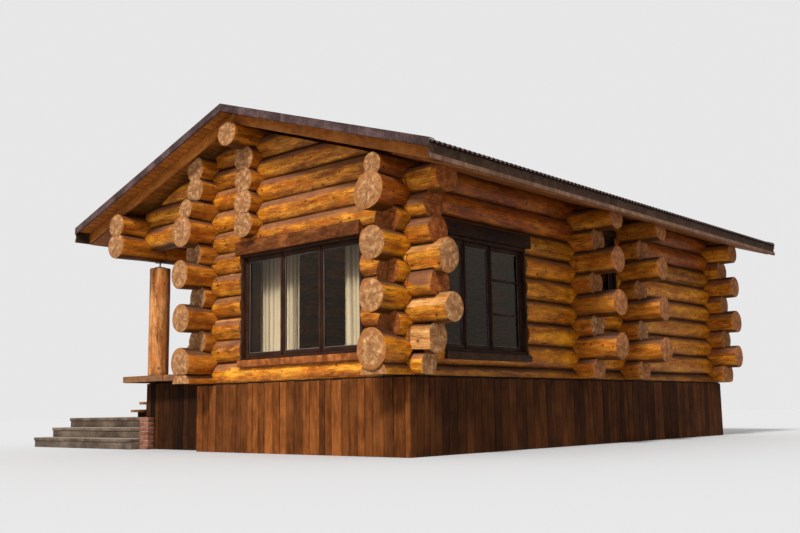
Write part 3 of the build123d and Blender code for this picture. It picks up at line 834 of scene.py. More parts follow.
def bevelRims(piece, axis, ends, width):
    bpy.ops.object.mode_set(mode="EDIT")
    bpy.ops.mesh.select_all(action="DESELECT")
    mesh = bmesh.from_edit_mesh(piece.data)
    for edge in mesh.edges:
        edge.select = any(all(abs(v.co[axis] - end) < 1e-4 for v in edge.verts) for end in ends)
    bmesh.update_edit_mesh(piece.data)
    bpy.ops.mesh.bevel(offset=width, segments=2, affect="EDGES")
    bpy.ops.object.mode_set(mode="OBJECT")


def shapeLog(piece, axis, middle, span, seed, ends, lobe=None):
    # ends are how thick the log is at its two ends, against the middle; the lobe is at the thicker one
    first, second = [i for i in range(3) if i != axis]
    draw = random.Random(seed)
    butt = draw.uniform(-logShape["butt"], logShape["butt"])
    slant = logShape["slant"]
    slants = [(draw.uniform(-1, 1) * slant, draw.uniform(-1, 1) * slant) for _ in ends]
    for vertex in piece.data.vertices:
        s = vertex.co[axis]
        a = vertex.co[first] - middle[first]
        b = vertex.co[second] - middle[second]
        r = math.hypot(a, b)
        if r < 1e-5:
            continue
        ca, cb = a / r, b / r
        swell = 1
        for amount, waves, around, share in logShape["swells"]:
            swell += amount * noise.noise(Vector((s * waves + seed * share, ca * around, cb * around)))
        swell += butt * (s - span[0]) / (span[1] - span[0])
        for end, thick in zip(span, ends):
            near = max(0.0, 1 - abs(s - end) / logShape["endReach"])
            near = near * near * (3 - 2 * near)
            swell *= 1 + (thick - 1) * near
            if lobe and thick == max(ends):
                toward = math.cos(math.atan2(ca, cb) - math.radians(lobe[0]))
                swell += lobe[1] * near * max(0.0, toward) ** 3
        at = s * logShape["bowWave"]
        bowA = logShape["bow"] * noise.noise(Vector((at, seed, 0.5)))
        bowB = logShape["bow"] * noise.noise(Vector((at, 0.5, seed)))
        vertex.co[first] = middle[first] + a * swell + bowA
        vertex.co[second] = middle[second] + b * swell + bowB
        for end, (slantA, slantB), side in zip(span, slants, (1, -1)):
            if abs(s - end) < 0.03:
                vertex.co[axis] = s + side * (logShape["endDepth"] + slantA * a + slantB * b)


def mapLog(piece, axis, middle, tone, flats=()):
    # the map's u runs along the log and v round it; on sawn ends it is measured from the heart
    mesh = piece.data
    across = [i for i in range(3) if i != axis]
    points = np.zeros(len(mesh.vertices) * 3)
    mesh.vertices.foreach_get("co", points)
    points = points.reshape(-1, 3)
    loops = np.zeros(len(mesh.loops), int)
    mesh.loops.foreach_get("vertex_index", loops)
    totals = np.zeros(len(mesh.polygons), int)
    mesh.polygons.foreach_get("loop_total", totals)
    normals = np.zeros(len(mesh.polygons) * 3)
    mesh.polygons.foreach_get("normal", normals)
    centres = np.zeros(len(mesh.polygons) * 3)
    mesh.polygons.foreach_get("center", centres)
    centres = centres.reshape(-1, 3)
    sawn = np.abs(normals.reshape(-1, 3)[:, axis]) > 0.85
    a = points[loops, across[0]] - middle[across[0]]
    b = points[loops, across[1]] - middle[across[1]]
    faceA = centres[:, across[0]] - middle[across[0]]
    faceB = centres[:, across[1]] - middle[across[1]]
    faceTurn = np.repeat(np.arctan2(faceA, -faceB), totals)
    turn = np.arctan2(a, -b)
    turn = faceTurn + (turn - faceTurn + np.pi) % (2 * np.pi) - np.pi
    sawnLoops = np.repeat(sawn, totals)
    u = np.where(sawnLoops, a, points[loops, axis])
    v = np.where(sawnLoops, b, turn * cabin["logRadius"])
    layer = mesh.uv_layers.new(name="logMap")
    layer.data.foreach_set("uv", np.column_stack((u, v)).ravel())
    kinds = sawn.astype(int)
    for outward in flats:
        kinds[normals.reshape(-1, 3) @ np.array(outward) > 0.999] = 2
    mesh.polygons.foreach_set("material_index", kinds)
    setTone(piece, tone)


def makeLog(which, axis, middle, span, seed, finish, hewn=(), saddles=(), cutters=(), facets=()):
    # which is the log's wall and course; hewn are (low end, high end, side) where another log of the
    # wall lies over (1) or under (-1)
    radius = cabin["logRadius"] * (1 + logShape["spread"] * math.sin(seed * 12.9898))
    log = roundBar(axis, middle, span, radius, logShape["sides"])
    subdivideAlong(log, axis, max(2, int((span[1] - span[0]) / logShape["ring"])))
    bevelRims(log, axis, span, logShape["rimBevel"])
    shapeLog(log, axis, middle, span, seed, endSwell.get(which, (1, 1)), endLobes.get(which))
    half = cabin["course"] / 2 - logShape["seamGap"] / 2
    wide = logShape["cutReach"]
    flats = []
    for low, high, side in hewn:
        lowest = [m - wide for m in middle]
        highest = [m + wide for m in middle]
        lowest[axis], highest[axis] = low - logShape["cutPlay"], high + logShape["cutPlay"]
        faces = (middle[2] + side * half, middle[2] + side * (half + logShape["cutHeight"]))
        lowest[2], highest[2] = sorted(faces)
        flats.append(addBlock(lowest, highest))
    if flats:
        flats = [joinPieces(flats, "flats")]
    crossing = []
    for s in saddles:
        below = list(middle)
        below[axis] = s
        below[2] = middle[2] - cabin["course"] / 2
        other = 1 - axis
        reach = (middle[other] - wide, middle[other] + wide)
        wider = cabin["logRadius"] + logShape["saddleGap"]
        crossing.append(roundBar(other, below, reach, wider, logShape["saddleSides"]))
    if crossing:
        crossing = [joinPieces(crossing, "crossing")]
    planed = [hewFacet(axis, middle, *facet) for facet in facets]
    for cutter in (*flats, *crossing, *planed, *cutters):
        cutAway(log, cutter)
    removePieces(flats + crossing + planed)
    log.data.materials.clear()
    for each in (finish, logEndFinish(*which), hewnLogs):
        log.data.materials.append(each)
    # on these courses the first hewn flat is paler: fresh-cut wood, partly painted sunlight on the flat
    paleFlats = facets[:1] if which[1] in paleFlatCourses else ()
    outwards = [facetTurn(axis, *facet) @ Vector((0, 0, 1)) for facet in paleFlats]
    tone = (math.sin(seed * 78.233) * 43758.5453) % 1.0 + logShade.get(which, 0.0)
    mapLog(log, axis, middle, tone, outwards)
    return log


def facetTurn(axis, span, turn, depths):
    # turn is the flat's direction, in degrees from upright; depths are at the span's two ends
    about, across = ("X", "Y") if axis == 0 else ("Y", "X")
    angle = math.radians(-turn if axis == 0 else turn)
    fall = math.atan((depths[1] - depths[0]) / (span[1] - span[0])) * (1 if axis == 0 else -1)
    return Matrix.Rotation(angle, 3, about) @ Matrix.Rotation(fall, 3, across)


def hewFacet(axis, middle, span, turn, depths):
    # a block whose inner face lies where the flat is hewn
    turned = facetTurn(axis, span, turn, depths)
    wide, high = logShape["facetBlock"]
    place = Vector(middle)
    place[axis] = (span[0] + span[1]) / 2
    place += turned @ Vector((0, 0, 1)) * (cabin["logRadius"] - sum(depths) / 2 + high / 2)
    size = [wide, wide, high]
    size[axis] = (span[1] - span[0]) * 1.02
    return addTurned(place, size, turned.to_euler())


def overlap(first, second):
    low, high = max(first[0], second[0]), min(first[1], second[1])
    return [(low, high)] if high > low else []


def stackHewn(spans, index):
    hewn = []
    if index + 1 < len(spans):
        hewn += [(*part, 1) for part in overlap(spans[index], spans[index + 1])]
    if index > 0:
        hewn += [(*part, -1) for part in overlap(spans[index], spans[index - 1])]
    return hewn


logEnds = {
    "frontRight": (0.170, 0.297, 0.576, 0.370, 0.514, 0.348, 0.289, 0.518),
    "crossRight": (0.290, 0.690, 0.290, 0.690, 0.290, 0.690, 0.357, 0.690),
    "rearRight": (0.245, 0.470, 0.245, 0.470, 0.245, 0.470, 0.245, 0.470),
    "left": (0.0, 0.300, 0.090, 0.300, 0.090, 0.300, 0.090, 0.090),
    "rightFront": (0.465, 0.160, 0.465, 0.160, 0.440, 0.170, 0.490, 0.420),
    "leftFront": (0.465, 0.160, 0.465, 0.160, 0.500, 0.250, 0.480, 0.420, 0.250, 0.250),
    "sill": 0.440,
    "beam": 0.465,
    "stack": 0.160,
    "beamCrossing": 0.060,
    "gableInset": 0.110,
}
# thickness of single log ends against the rest of the log, from the photograph
endSwell = {
    ("beam", 6): (1.05, 1),
    ("beam", 7): (0.95, 1),
    ("right", 7): (0.74, 1),
    ("right", 6): (1.16, 1),
    ("right", 4): (1.04, 1),
    ("right", 2): (1.06, 1),
    ("right", 0): (1.24, 1),
    ("right", -1): (1.12, 1),
    ("left", 6): (1.15, 1),
    ("left", 7): (0.82, 1),
    ("left", 4): (1.08, 1),
    ("left", 2): (1.05, 1),
    ("left", 0): (1.1, 1),
    ("front", 0): (1, 0.8),
    ("front", 2): (1, 0.95),
    ("front", 4): (1, 1.05),
    ("front", 1): (1, 1.05),
}
# a lobe where an end bulges to one side: direction in degrees from upright, and how far
endLobes = {
    ("right", 6): (-125, 0.2),
    ("right", 0): (-15, 0.16),
    ("left", 6): (160, 0.12),
    ("front", 4): (200, 0.14),
    ("front", 2): (150, 0.1),
}
# courses whose sawn ends are darker and redder, as painted shade under the eave and between neighbouring
# logs, and those with a pale hewn flat
paintedShadeCourses = {"front": (3, 5, 6, 7), "right": (1, 3, 5)}
paleFlatCourses = (1, 2, 4)
# how much lighter or darker single logs are: course 5 of the right wall is darker as painted shade under the
# eave, and the front wall's low courses are lighter as painted sunlight
logShade = {
    ("right", 5): -0.4,
    ("right", -1): -0.8,
    ("front", 0): 0.6,
    ("front", 1): 0.3,
    ("front", 2): 0.3,
    ("front", 4): 0.3,
}
# Windows: start and width run along the wall, lights and bars lie inside the frame, and ears are how
# far the lintel reaches past the frame at its two ends.
# A window's shade makes its frame darker: the right wall's windows are darkened as painted shade.
windows = {
    "frontWindowFrame": {
        "node": "front_window_frame",
        "wall": "front",
        "axis": 0,
        "wallAt": cabin["frontY"],
        "outward": -1,
        "start": 0.876,
        "width": 2.427,
        "bottom": 1.297,
        "height": 1.527,
        "lights": [(0.095, 0.795), (0.865, 1.565), (1.635, 2.332)],
        "bars": [],
        "lintel": (2.826, 3.009),
        "ears": (0.09, 0.0),
        "shade": 0.0,
        "sillTone": 1.7,
        "lintelTone": 0.75,
    },
    "sideWindowFrame": {
        "node": "side_window_frame",
        "wall": "right",
        "axis": 1,
        "wallAt": cabin["rightX"],
        "outward": 1,
        "start": -3.935,
        "width": 1.9,
        "bottom": 1.297,
        "height": 1.527,
        "lights": [(0.095, 0.51), (0.58, 1.09), (1.16, 1.805)],
        "bars": [(2, 0.36), (2, 0.67)],
        "lintel": (2.826, 3.009),
        "ears": (0.09, 0.09),
        "shade": -1.2,
        "sillTone": 0.5,
        "lintelTone": -0.35,
    },
    "hallWindowFrame": {
        "node": "hall_window_frame",
        "wall": "right",
        "axis": 1,
        "wallAt": cabin["rightX"],
        "outward": 1,
        "start": -0.355,
        "width": 0.92,
        "bottom": 2.194,
        "height": 1.096,
        "lights": [(0.095, 0.425), (0.495, 0.825)],
        "bars": [],
        "lintel": (3.291, 3.396),
        "ears": (0.0, 0.0),
        "shade": -1.2,
        "sillTone": 0.3,
        "lintelTone": -0.3,
    },
}
# Sills and lintels: reaches are measured outward from the wall's middle line.
trim = {
    "sillHeight": 0.096,
    "sillReach": (0.24, -0.17),
    "lintelReach": (0.215, -0.2),
    "cutReach": (0.6, -0.6),
    "play": 0.002,
}
r = cabin["logRadius"]
endWalls = (cabin["frontY"], cabin["rearY"])
allWalls = (cabin["frontY"], cabin["hallFrontY"], cabin["hallRearY"], cabin["rearY"])
# cutters, far larger than what they cut
slopeCuts = {
    "soffit": [slopeBlock(side, (-5, 5), (cabin["soffitGap"], 3), (-8, 8)) for side in (1, -1)],
    "rafter": [slopeBlock(side, (-5, 5), (-0.001, 3), (-8, 8)) for side in (1, -1)],
}
baseCut = addBlock((-9, -9, -1), (9, 9, cabin["logBase"]))
openings = {
    "front": [],
    "right": [],
    "left": [addBoard((-0.5, 0.6), (-0.345, 0.555), (1.123, 3.073))],
    "doorways": [addBoard((1.545, 2.445), (-1.1, 1.3), (0.9, 3.2355))],
}
for window in windows.values():
    start, end = window["start"], window["start"] + window["width"]
    low, top = window["bottom"] - trim["sillHeight"], window["lintel"][1] + trim["play"]
    cuts = openings[window["wall"]]
    cuts.append(wallBlock(window, (start, end), (low, top), trim["cutReach"]))
    if any(window["ears"]):
        ears = (start - window["ears"][0], end + window["ears"][1])
        head = window["bottom"] + window["height"]
        cuts.append(wallBlock(window, ears, (head, top), trim["cutReach"]))


def touching(kind, height):
    # the cutters of a wall's openings that reach the log at a height
    reach = r + logShape["cutMargin"]
    kept = []
    for cutter in openings.get(kind, ()):
        heights = [v.co.z for v in cutter.data.vertices]
        if min(heights) < height + reach and max(heights) > height - reach:
            kept.append(cutter)
    return kept


def logEndFinish(kind, k):
    if kind == "rear" or (kind == "hall" and k != 2):
        return brownEnds
    # the listed courses' ends take the painted shade finish
    return paintedShadeEnds if k in paintedShadeCourses.get(kind, ()) else sawnEnds


def gableLogs(kind, wallY, rightEnds, facets):
    spans = []
    for k in range(gableTopCourse + 1):
        right = cabin["rightX"] - logEnds["gableInset"]
        if k == gableTopCourse:
            left = cabin["leftX"] + r
        elif k > wallTopCourse:
            left = cabin["beamX"] + logEnds["gableInset"]
        else:
            left = cabin["leftX"] - r - logEnds["left"][k]
            right = cabin["rightX"] + r + rightEnds[k]
        if k == wallTopCourse:
            left = cabin["beamX"] - r - logEnds["beamCrossing"]
        spans.append((left, right))
    logs = []
    for k, span in enumerate(spans):
        saddles = [] if k == gableTopCourse else [cabin["leftX"]]
        if k <= wallTopCourse:
            saddles.append(cabin["rightX"])
        if k == wallTopCourse:
            saddles.append(cabin["beamX"])
        if k == wallTopCourse + 1:
            saddles += [cabin["beamX"], cabin["rightX"]]
        cutters = touching(kind, crossHeight(k))
        if k >= wallTopCourse:
            saddles.append(cabin["ridgeX"])
            cutters = cutters + slopeCuts["soffit"]
        if k == 0:
            cutters = cutters + [baseCut]
        middle = (0, wallY, crossHeight(k))
        seed = 3.7 * k + (1.3 if kind == "front" else 21.9)
        shape = (stackHewn(spans, k), saddles, cutters, facets.get(k, ()))
        logs.append(makeLog((kind, k), 0, middle, span, seed, cleanLogs, *shape))
    return logs


def hallLogs(wallY, seed):
    spans = [
        (cabin["leftX"] - r - logEnds["left"][k], cabin["rightX"] + r + logEnds["crossRight"][k])
        for k in range(wallTopCourse + 1)
    ]
    logs = []
    for k, span in enumerate(spans):
        cutters = list(openings["doorways"]) if k < wallTopCourse else list(slopeCuts["soffit"])
        if k == 0:
            cutters.append(baseCut)
        middle = (0, wallY, crossHeight(k))
        shape = (stackHewn(spans, k), (cabin["leftX"], cabin["rightX"]), cutters)
        logs.append(makeLog(("hall", k), 0, middle, span, seed + 2.9 * k, honeyLogs, *shape))
    return logs


def sideLogs(kind, wallX, frontEnds, top, seed, finish):
    ends = (logEnds["sill"], *frontEnds[: top + 1])
    spans = [(cabin["frontY"] - r - end, cabin["rearY"] + r + end) for end in ends]
    logs = []
    for index, span in enumerate(spans):
        k = index - 1
        saddles = []
        if k >= 0:
            saddles = allWalls if k <= wallTopCourse else endWalls
        cutters = touching(kind, sideHeight(k))
        if k < 0:
            cutters = cutters + [baseCut]
        if k == top:
            cutters = cutters + slopeCuts["rafter"]
        middle = (wallX, 0, sideHeight(k))
        # the right wall's courses under the eave take a darker finish, as painted shade
        courseFinish = eaveShadeLogs if kind == "right" and k >= wallTopCourse - 1 else finish
        shape = (stackHewn(spans, index), saddles, cutters)
        logs.append(makeLog((kind, k), 1, middle, span, seed + 4.3 * index, courseFinish, *shape))
    return logs


# span, direction and depths of the flats hewn on the front wall's right ends
frontFacets = {
    7: [((4.1, 4.5), -100, (0.02, 0.045))],
    6: [((4.1, 4.6), -62, (0.03, 0.05)), ((4.1, 4.6), -118, (0.02, 0.035))],
    5: [((4.1, 4.6), -50, (0.015, 0.04)), ((4.1, 4.6), -105, (0.02, 0.035))],
    4: [((4.1, 4.9), -42, (0.03, 0.045)), ((4.1, 4.9), -104, (0.02, 0.035))],
    3: [((4.1, 4.6), -72, (0.02, 0.045))],
    2: [((4.1, 5.0), -48, (0.035, 0.05)), ((4.1, 4.95), -108, (0.015, 0.03))],
    1: [((4.1, 4.65), -88, (0.05, 0.075)), ((4.1, 4.65), -28, (0.02, 0.05))],
}
frontLogs = gableLogs("front", cabin["frontY"], logEnds["frontRight"], frontFacets)
rearLogs = gableLogs("rear", cabin["rearY"], logEnds["rearRight"], {})
crossLogs = hallLogs(cabin["hallFrontY"], 61.3) + hallLogs(cabin["hallRearY"], 91.7)
rightLogs = sideLogs("right", cabin["rightX"], logEnds["rightFront"], wallTopCourse, 131.1, paleLogs)
leftLogs = sideLogs("left", cabin["leftX"], logEnds["leftFront"], leftTopCourse, 171.4, honeyLogs)
walls = [
    (frontLogs, "frontWallLogs", "stained_logs", "front_wall_even_logs", "front_wall_odd_logs"),
    (rearLogs, "rearWallLogs", "stained_logs", "rear_wall_even_logs", "rear_wall_odd_logs"),
    (crossLogs, "crossWallLogs", "stained_logs", "hall_walls_even_logs", "hall_walls_odd_logs"),
    (rightLogs, "rightWallLogs", "pale_logs", "right_wall_even_logs", "right_wall_odd_logs"),
    (leftLogs, "leftWallLogs", "stained_logs", "left_wall_even_logs", "left_wall_odd_logs"),
]
# smoothed over less than the hewn flats' angles, so that their edges stay crisp
for wall in walls:
    closePiece(*wall, smooth=24)

# Veranda beam, ridge purlin and the short stacks that carry it.
beamSpan = (cabin["frontY"] - r - logEnds["beam"], cabin["rearY"] + r + logEnds["beam"])
stackSpans = [(y - r - logEnds["stack"], y + r + logEnds["stack"]) for y in endWalls]
underRoof = (endWalls, slopeCuts["rafter"])
middle = (cabin["beamX"], 0, sideHeight(6))
lowerBeam = makeLog(("beam", 6), 1, middle, beamSpan, 207.3, honeyLogs, [(*beamSpan, 1)])
closePiece([lowerBeam], "verandaLowerBeam", "stained_logs", "veranda_lower_beam")
middle = (cabin["beamX"], 0, sideHeight(7))
upperBeam = makeLog(("beam", 7), 1, middle, beamSpan, 213.8, honeyLogs, [(*beamSpan, -1)], *underRoof)
closePiece([upperBeam], "verandaUpperBeam", "stained_logs", "veranda_upper_beam")
middle = (cabin["ridgeX"], 0, sideHeight(gableTopCourse))
carried = [(*span, -1) for span in stackSpans]
purlin = makeLog(("ridge", gableTopCourse), 1, middle, beamSpan, 219.1, honeyLogs, carried, *underRoof)
closePiece([purlin], "ridgePurlin", "stained_logs", "ridge_purlin")
stubs = []
for k in range(6, gableTopCourse):
    for index, (y, span) in enumerate(zip(endWalls, stackSpans)):
        # the lowest of a stack has nothing under it
        hewn = [(*span, 1)] + ([(*span, -1)] if k > 6 else [])
        middle = (cabin["ridgeX"], 0, sideHeight(k))
        stubs.append(makeLog(("stack", k), 1, middle, span, 231.0 + 5.1 * k + index, honeyLogs, hewn, (y,)))
closePiece(stubs, "ridgeStackLogs", "stained_logs", "ridge_stack_even_logs", "ridge_stack_odd_logs")
for cutters in (*slopeCuts.values(), *openings.values(), [baseCut]):
    removePieces(cutters)

# Round posts of the veranda.
postShape = {"radius": 0.168, "z": (1.165, 2.9635), "setback": 0.197, "rings": 20, "rimBevel": 0.006}
posts = []
for index, y in enumerate((cabin["frontY"] + postShape["setback"], cabin["rearY"] - postShape["setback"])):
    middle = (cabin["beamX"], y, 0)
    low, high = postShape["z"]
    post = roundBar(2, middle, (low, high), postShape["radius"], logShape["sides"])
    subdivideAlong(post, 2, postShape["rings"])
    bevelRims(post, 2, (low, high), postShape["rimBevel"])
    shapeLog(post, 2, middle, (low, high), 251.0 + 7 * index, (1, 1))
    for vertex in post.data.vertices:
        vertex.co.z = min(max(vertex.co.z, low), high)
    post.data.materials.append(postLogs)
    post.data.materials.append(sawnEnds)
    mapLog(post, 2, middle, 1.1 - 0.5 * index)
    posts.append(post)
closePiece(posts, "verandaPosts", "stained_logs", "veranda_posts")
print("logs ready")

# Roof: lifts are measured square to the slope from the rafters' seat, x level from the ridge.
roof = {
    "y": (-5.193, 5.193),
    "edge": 3.9,
    "boards": (0.151, 0.175),
    "wave": 0.095,
    "waveHeight": 0.0165,
    "waveSteps": 6,
    "sheetLength": 1.46,
    "sheetLap": 0.14,
    "sheetRows": 3,
    "sheetWaves": 10,
    "sheetThick": 0.004,
    "sheetTop": 0.217,
    "sheetLift": 0.1935,
    "rowLift": 0.002,
    "tilt": 0.0035,
    "ridgeGap": 0.02,
    "narrowest": 0.02,
}
fascia = {
    "x": (3.834, 3.86),
    "z": (0.0, 0.18),
    "lipX": (3.861, 3.879),
    "lipZ": (-0.002, 0.055),
    "joints": (-1.9, 1.7),
    "gap": 0.001,
}
# sheathing and soffits: rows of boards down the slope, each row in two lengths
boarding = {"width": 0.115, "gap": 0.004, "joint": 0.001}
sheathing = {
    "along": (0.0, (fascia["x"][0] - roof["boards"][1] * sine) / cosine),
    "lift": roof["boards"],
    "y": roof["y"],
    "joints": 3.0,
    "inset": 0.004,
    "ragged": 0.002,
}
soffit = {
    "along": (3.025 / cosine, 3.855 / cosine),
    "lift": (-0.02, -0.001),
    "y": (-4.9115, 4.9115),
    "joints": 2.5,
    "inset": 0.0,
    "ragged": 0.0,
}


def slopeBoards(shape, finish):
    boards = []
    start, end = shape["along"]
    count = int((end - start) / boarding["width"])
    pitch = (end - start) / count
    for side in (1, -1):
        for i in range(count):
            at = start + i * pitch
            along = (at + shape["inset"], at + pitch - boarding["gap"])
            joint = random.uniform(-shape["joints"], shape["joints"])
            low, high = shape["lift"]
            if shape["ragged"]:
                low += random.uniform(0, shape["ragged"])
            halves = ((shape["y"][0], joint - boarding["joint"]), (joint + boarding["joint"], shape["y"][1]))
            for ySpan in halves:
                boards.append(slopeBlock(side, along, (low, high), ySpan, finish, random.random()))
    return boards


def ribbedSheet(side, top, bottom, low, high, lift, tone):
    steps = int((high - low) / roof["wave"] * roof["waveSteps"])
    bpy.ops.mesh.primitive_grid_add(x_subdivisions=2, y_subdivisions=steps, size=1)
    piece = bpy.context.object
    piece.scale = (bottom - top, high - low, 1)
    applyPlace()
    middleY = (low + high) / 2
    for vertex in piece.data.vertices:
        turn = 2 * math.pi * (vertex.co.y + middleY) / roof["wave"]
        over = vertex.co.x / (bottom - top) + 0.5
        vertex.co.z = roof["waveHeight"] * math.cos(turn) + roof["tilt"] * over
    t = (top + bottom) / 2
    piece.location = (
        cabin["ridgeX"] + side * (t * cosine + lift * sine),
        middleY,
        cabin["ridgeBearing"] - t * sine + lift * cosine,
    )
    piece.rotation_euler = (0, side * cabin["pitch"], 0)
    piece.scale = (side, 1, 1)
    applyPlace()
    # the left side's sheets are mirrored
    if piece.data.polygons[0].normal.z < 0:
        piece.data.flip_normals()
    setTone(piece, tone)
    piece.data.materials.append(roofSheet)
    return piece


boards = slopeBoards(sheathing, orangeBoards)
closePiece(boards, "sheathingBoards", "orange_boards", "roof_sheathing", bevel=0.003)
for side, name in ((1, "rightRoofSheets"), (-1, "leftRoofSheets")):
    sheets = []
    length = (roof["edge"] - roof["sheetTop"] * sine) / cosine
    for row in range(roof["sheetRows"]):
        bottom = length - row * (roof["sheetLength"] - roof["sheetLap"])
        top = max(roof["ridgeGap"], bottom - roof["sheetLength"])
        lift = roof["sheetLift"] + roof["rowLift"] * row
        low = roof["y"][0]
        while low < roof["y"][1] - roof["narrowest"]:
            high = min(low + roof["sheetWaves"] * roof["wave"], roof["y"][1])
            sheets.append(ribbedSheet(side, top, bottom, low, high, lift, random.random()))
            low = high
    sheets = joinPieces(sheets, name)
    useModifier(sheets, "SOLIDIFY", thickness=roof["sheetThick"], offset=0)
    placePiece(sheets, "roof_sheet", "roof_sheets", smooth=50)

# Rake caps: an upright leaf, a leaf over the sheets and a lip below, as (lifts, depth), in lengths that
# lap; every second length lies a step under its neighbours.
cap = {
    "end": 5.205,
    "edge": 3.868,
    "lengths": 3,
    "lap": 0.02,
    "step": 0.001,
    "leaves": [((0.12, 0.231), 0.009), ((0.222, 0.231), 0.1), ((0.12, 0.126), 0.024)],
}
caps = []
for inward in (1, -1):
    outer = -inward * cap["end"]
    for side in (1, -1):
        for i in range(cap["lengths"]):
            lap = cap["lap"] if i < cap["lengths"] - 1 else 0.0
            span = (i * cap["edge"] / cap["lengths"], (i + 1) * cap["edge"] / cap["lengths"] + lap)
            tone = random.random()
            under = cap["step"] * (i % 2)
            for (low, high), depth in cap["leaves"]:
                ySpan = sorted((outer + inward * under, outer + inward * depth))
                caps.append(roofPiece(side, *span, (low, high - under), ySpan, roofFlashing, tone))
closePiece(caps, "rakeCapSheets", "roof_flashing", "rake_caps", bevel=0.0025)

barge = {"y": 4.934, "thick": 0.043, "edge": 3.832, "lift": (0.001, 0.149), "joints": (1.6, 2.4)}
barges = []
for y in (-barge["y"], barge["y"]):
    ySpan = (y - barge["thick"] / 2, y + barge["thick"] / 2)
    for side in (1, -1):
        joint = random.uniform(*barge["joints"])
        for span in ((0, joint), (joint, barge["edge"])):
            barges.append(roofPiece(side, *span, barge["lift"], ySpan, orangeBoards, random.random()))
closePiece(barges, "bargeBoards", "orange_boards", "barge_boards", bevel=0.005, segments=2)

edges = []
foot = cabin["ridgeBearing"] - fascia["x"][1] * sine / cosine
for side in (1, -1):
    joints = [roof["y"][0], *(joint + side for joint in fascia["joints"]), roof["y"][1]]
    for low, high in zip(joints, joints[1:]):
        ySpan = (low + fascia["gap"], high - fascia["gap"])
        for xs, zs, finish in (("x", "z", fasciaBoards), ("lipX", "lipZ", fasciaLip)):
            xSpan = sorted(cabin["ridgeX"] + side * x for x in fascia[xs])
            zSpan = [foot + z for z in fascia[zs]]
            edges.append(addBoard(xSpan, ySpan, zSpan, finish, random.random()))
closePiece(edges, "fasciaBoards", "fascia_boards", "fascias", bevel=0.003)
closePiece(slopeBoards(soffit, soffitBoards), "soffitBoards", "fascia_boards", "soffits", bevel=0.003)

# Boarded skirts: upright boards in front of a dark core. A row is the axis it runs along, its face,
# the way it faces, its span and its tones; a core is its x and y spans.
skirt = {
    "width": (0.1, 0.19),
    "narrowest": 0.06,
    "gap": (0.005, 0.014),
    "thickness": 0.025,
    "ragged": 0.012,
    "proud": 0.006,
}
rearTones = (0.1, 0.8)
# The rows' tones make the right-hand row and the veranda's front row darker, as painted shade, and the front
# row lighter, as painted sunlight.
skirts = {
    "plinthSkirt": {
        "nodes": ("side_plinths", "end_plinths"),
        "top": 0.972,
        "coreTop": 0.984,
        "rows": [
            (1, 4.095, 1, (-4.588, 4.318), (-0.08, 0.24)),
            (0, -4.615, -1, (-0.127, 4.095), (0.35, 1.35)),
            (0, 4.345, 1, (-0.127, 4.095), rearTones),
        ],
        "cores": [
            ((3.665, 4.064), (-4.584, 4.314)),
            ((-0.127, 0.325), (-4.584, 4.314)),
            ((0.325, 3.665), (-4.584, -4.185)),
            ((0.325, 3.665), (3.915, 4.314)),
        ],
    },
    "verandaSkirt": {
        "nodes": ("veranda_side_skirt", "veranda_end_skirts"),
        "top": 1.052,
        "coreTop": 1.06,
        "rows": [
            (1, -1.875, -1, (-4.304, 4.034), rearTones),
            (0, -4.331, -1, (-1.875, -0.13), (-0.22, 0.12)),
            (0, 4.061, 1, (-1.875, -0.13), rearTones),
        ],
        "cores": [
            ((-1.844, -1.755), (-4.3, 4.03)),
            ((-1.755, -0.127), (-4.3, -4.211)),
            ((-1.755, -0.127), (3.941, 4.03)),
        ],
    },
}


def uprightBoards(top, axis, face, outward, span, tones):
    boards = []
    at = span[0]
    while at < span[1] - 0.01:
        end = at + random.uniform(*skirt["width"])
        if span[1] - end < skirt["narrowest"]:
            end = span[1]
        outer = face - outward * random.uniform(0, skirt["proud"])
        spans = [None, None, (0, top - random.uniform(0, skirt["ragged"]))]
        spans[axis] = (at, end - random.uniform(*skirt["gap"]))
        spans[1 - axis] = sorted((outer, outer - outward * skirt["thickness"]))
        boards.append(addBoard(*spans, skirtBoards, random.uniform(*tones), 2))
        at = end
    return boards


for name, shape in skirts.items():
    boards = [board for row in shape["rows"] for board in uprightBoards(shape["top"], *row)]
    boards = joinPieces(boards, name)
    bevelEdges(boards, 0.003)
    cores = [addBoard(x, y, (0, shape["coreTop"]), darkCore) for x, y in shape["cores"]]
    closePiece([boards, *cores], name, "skirt_boards", *shape["nodes"])

# Veranda deck: planks on three joists inside a rim of boards.
deck = {
    "x": (-2.125, -0.155),
    "y": (-4.621, 4.351),
    "z": (1.065, 1.165),
    "plank": 0.145,
    "thick": 0.045,
    "gap": 0.006,
    "rim": 0.032,
    "uneven": 0.002,
    "ragged": 0.004,
    "joists": (-1.8, -1.15, -0.4),
    "joistWidth": 0.06,
    "joistDrop": 0.048,
}
(left, right), (front, back), (low, top) = deck["x"], deck["y"], deck["z"]
inner = (front + deck["rim"], back - deck["rim"])
leftRim = (left, left + deck["rim"])
rims = [
    ((left + 0.002, -1.02), (front, inner[0]), (low + 0.004, top), 0.55),
    ((-1.016, right), (front + 0.012, inner[0]), (low, top - 0.012), 0.8),
    ((left + 0.002, right), (inner[1], back), (low, top), 0.3),
    (leftRim, (inner[0], 0.4), (low, top), 0.45),
    (leftRim, (0.404, inner[1]), (low, top), 0.15),
]
planks = [addBoard(x, y, z, deckPlanks, tone) for x, y, z, tone in rims]
count = round((inner[1] - inner[0]) / (deck["plank"] + deck["gap"]))
pitch = (inner[1] - inner[0]) / count
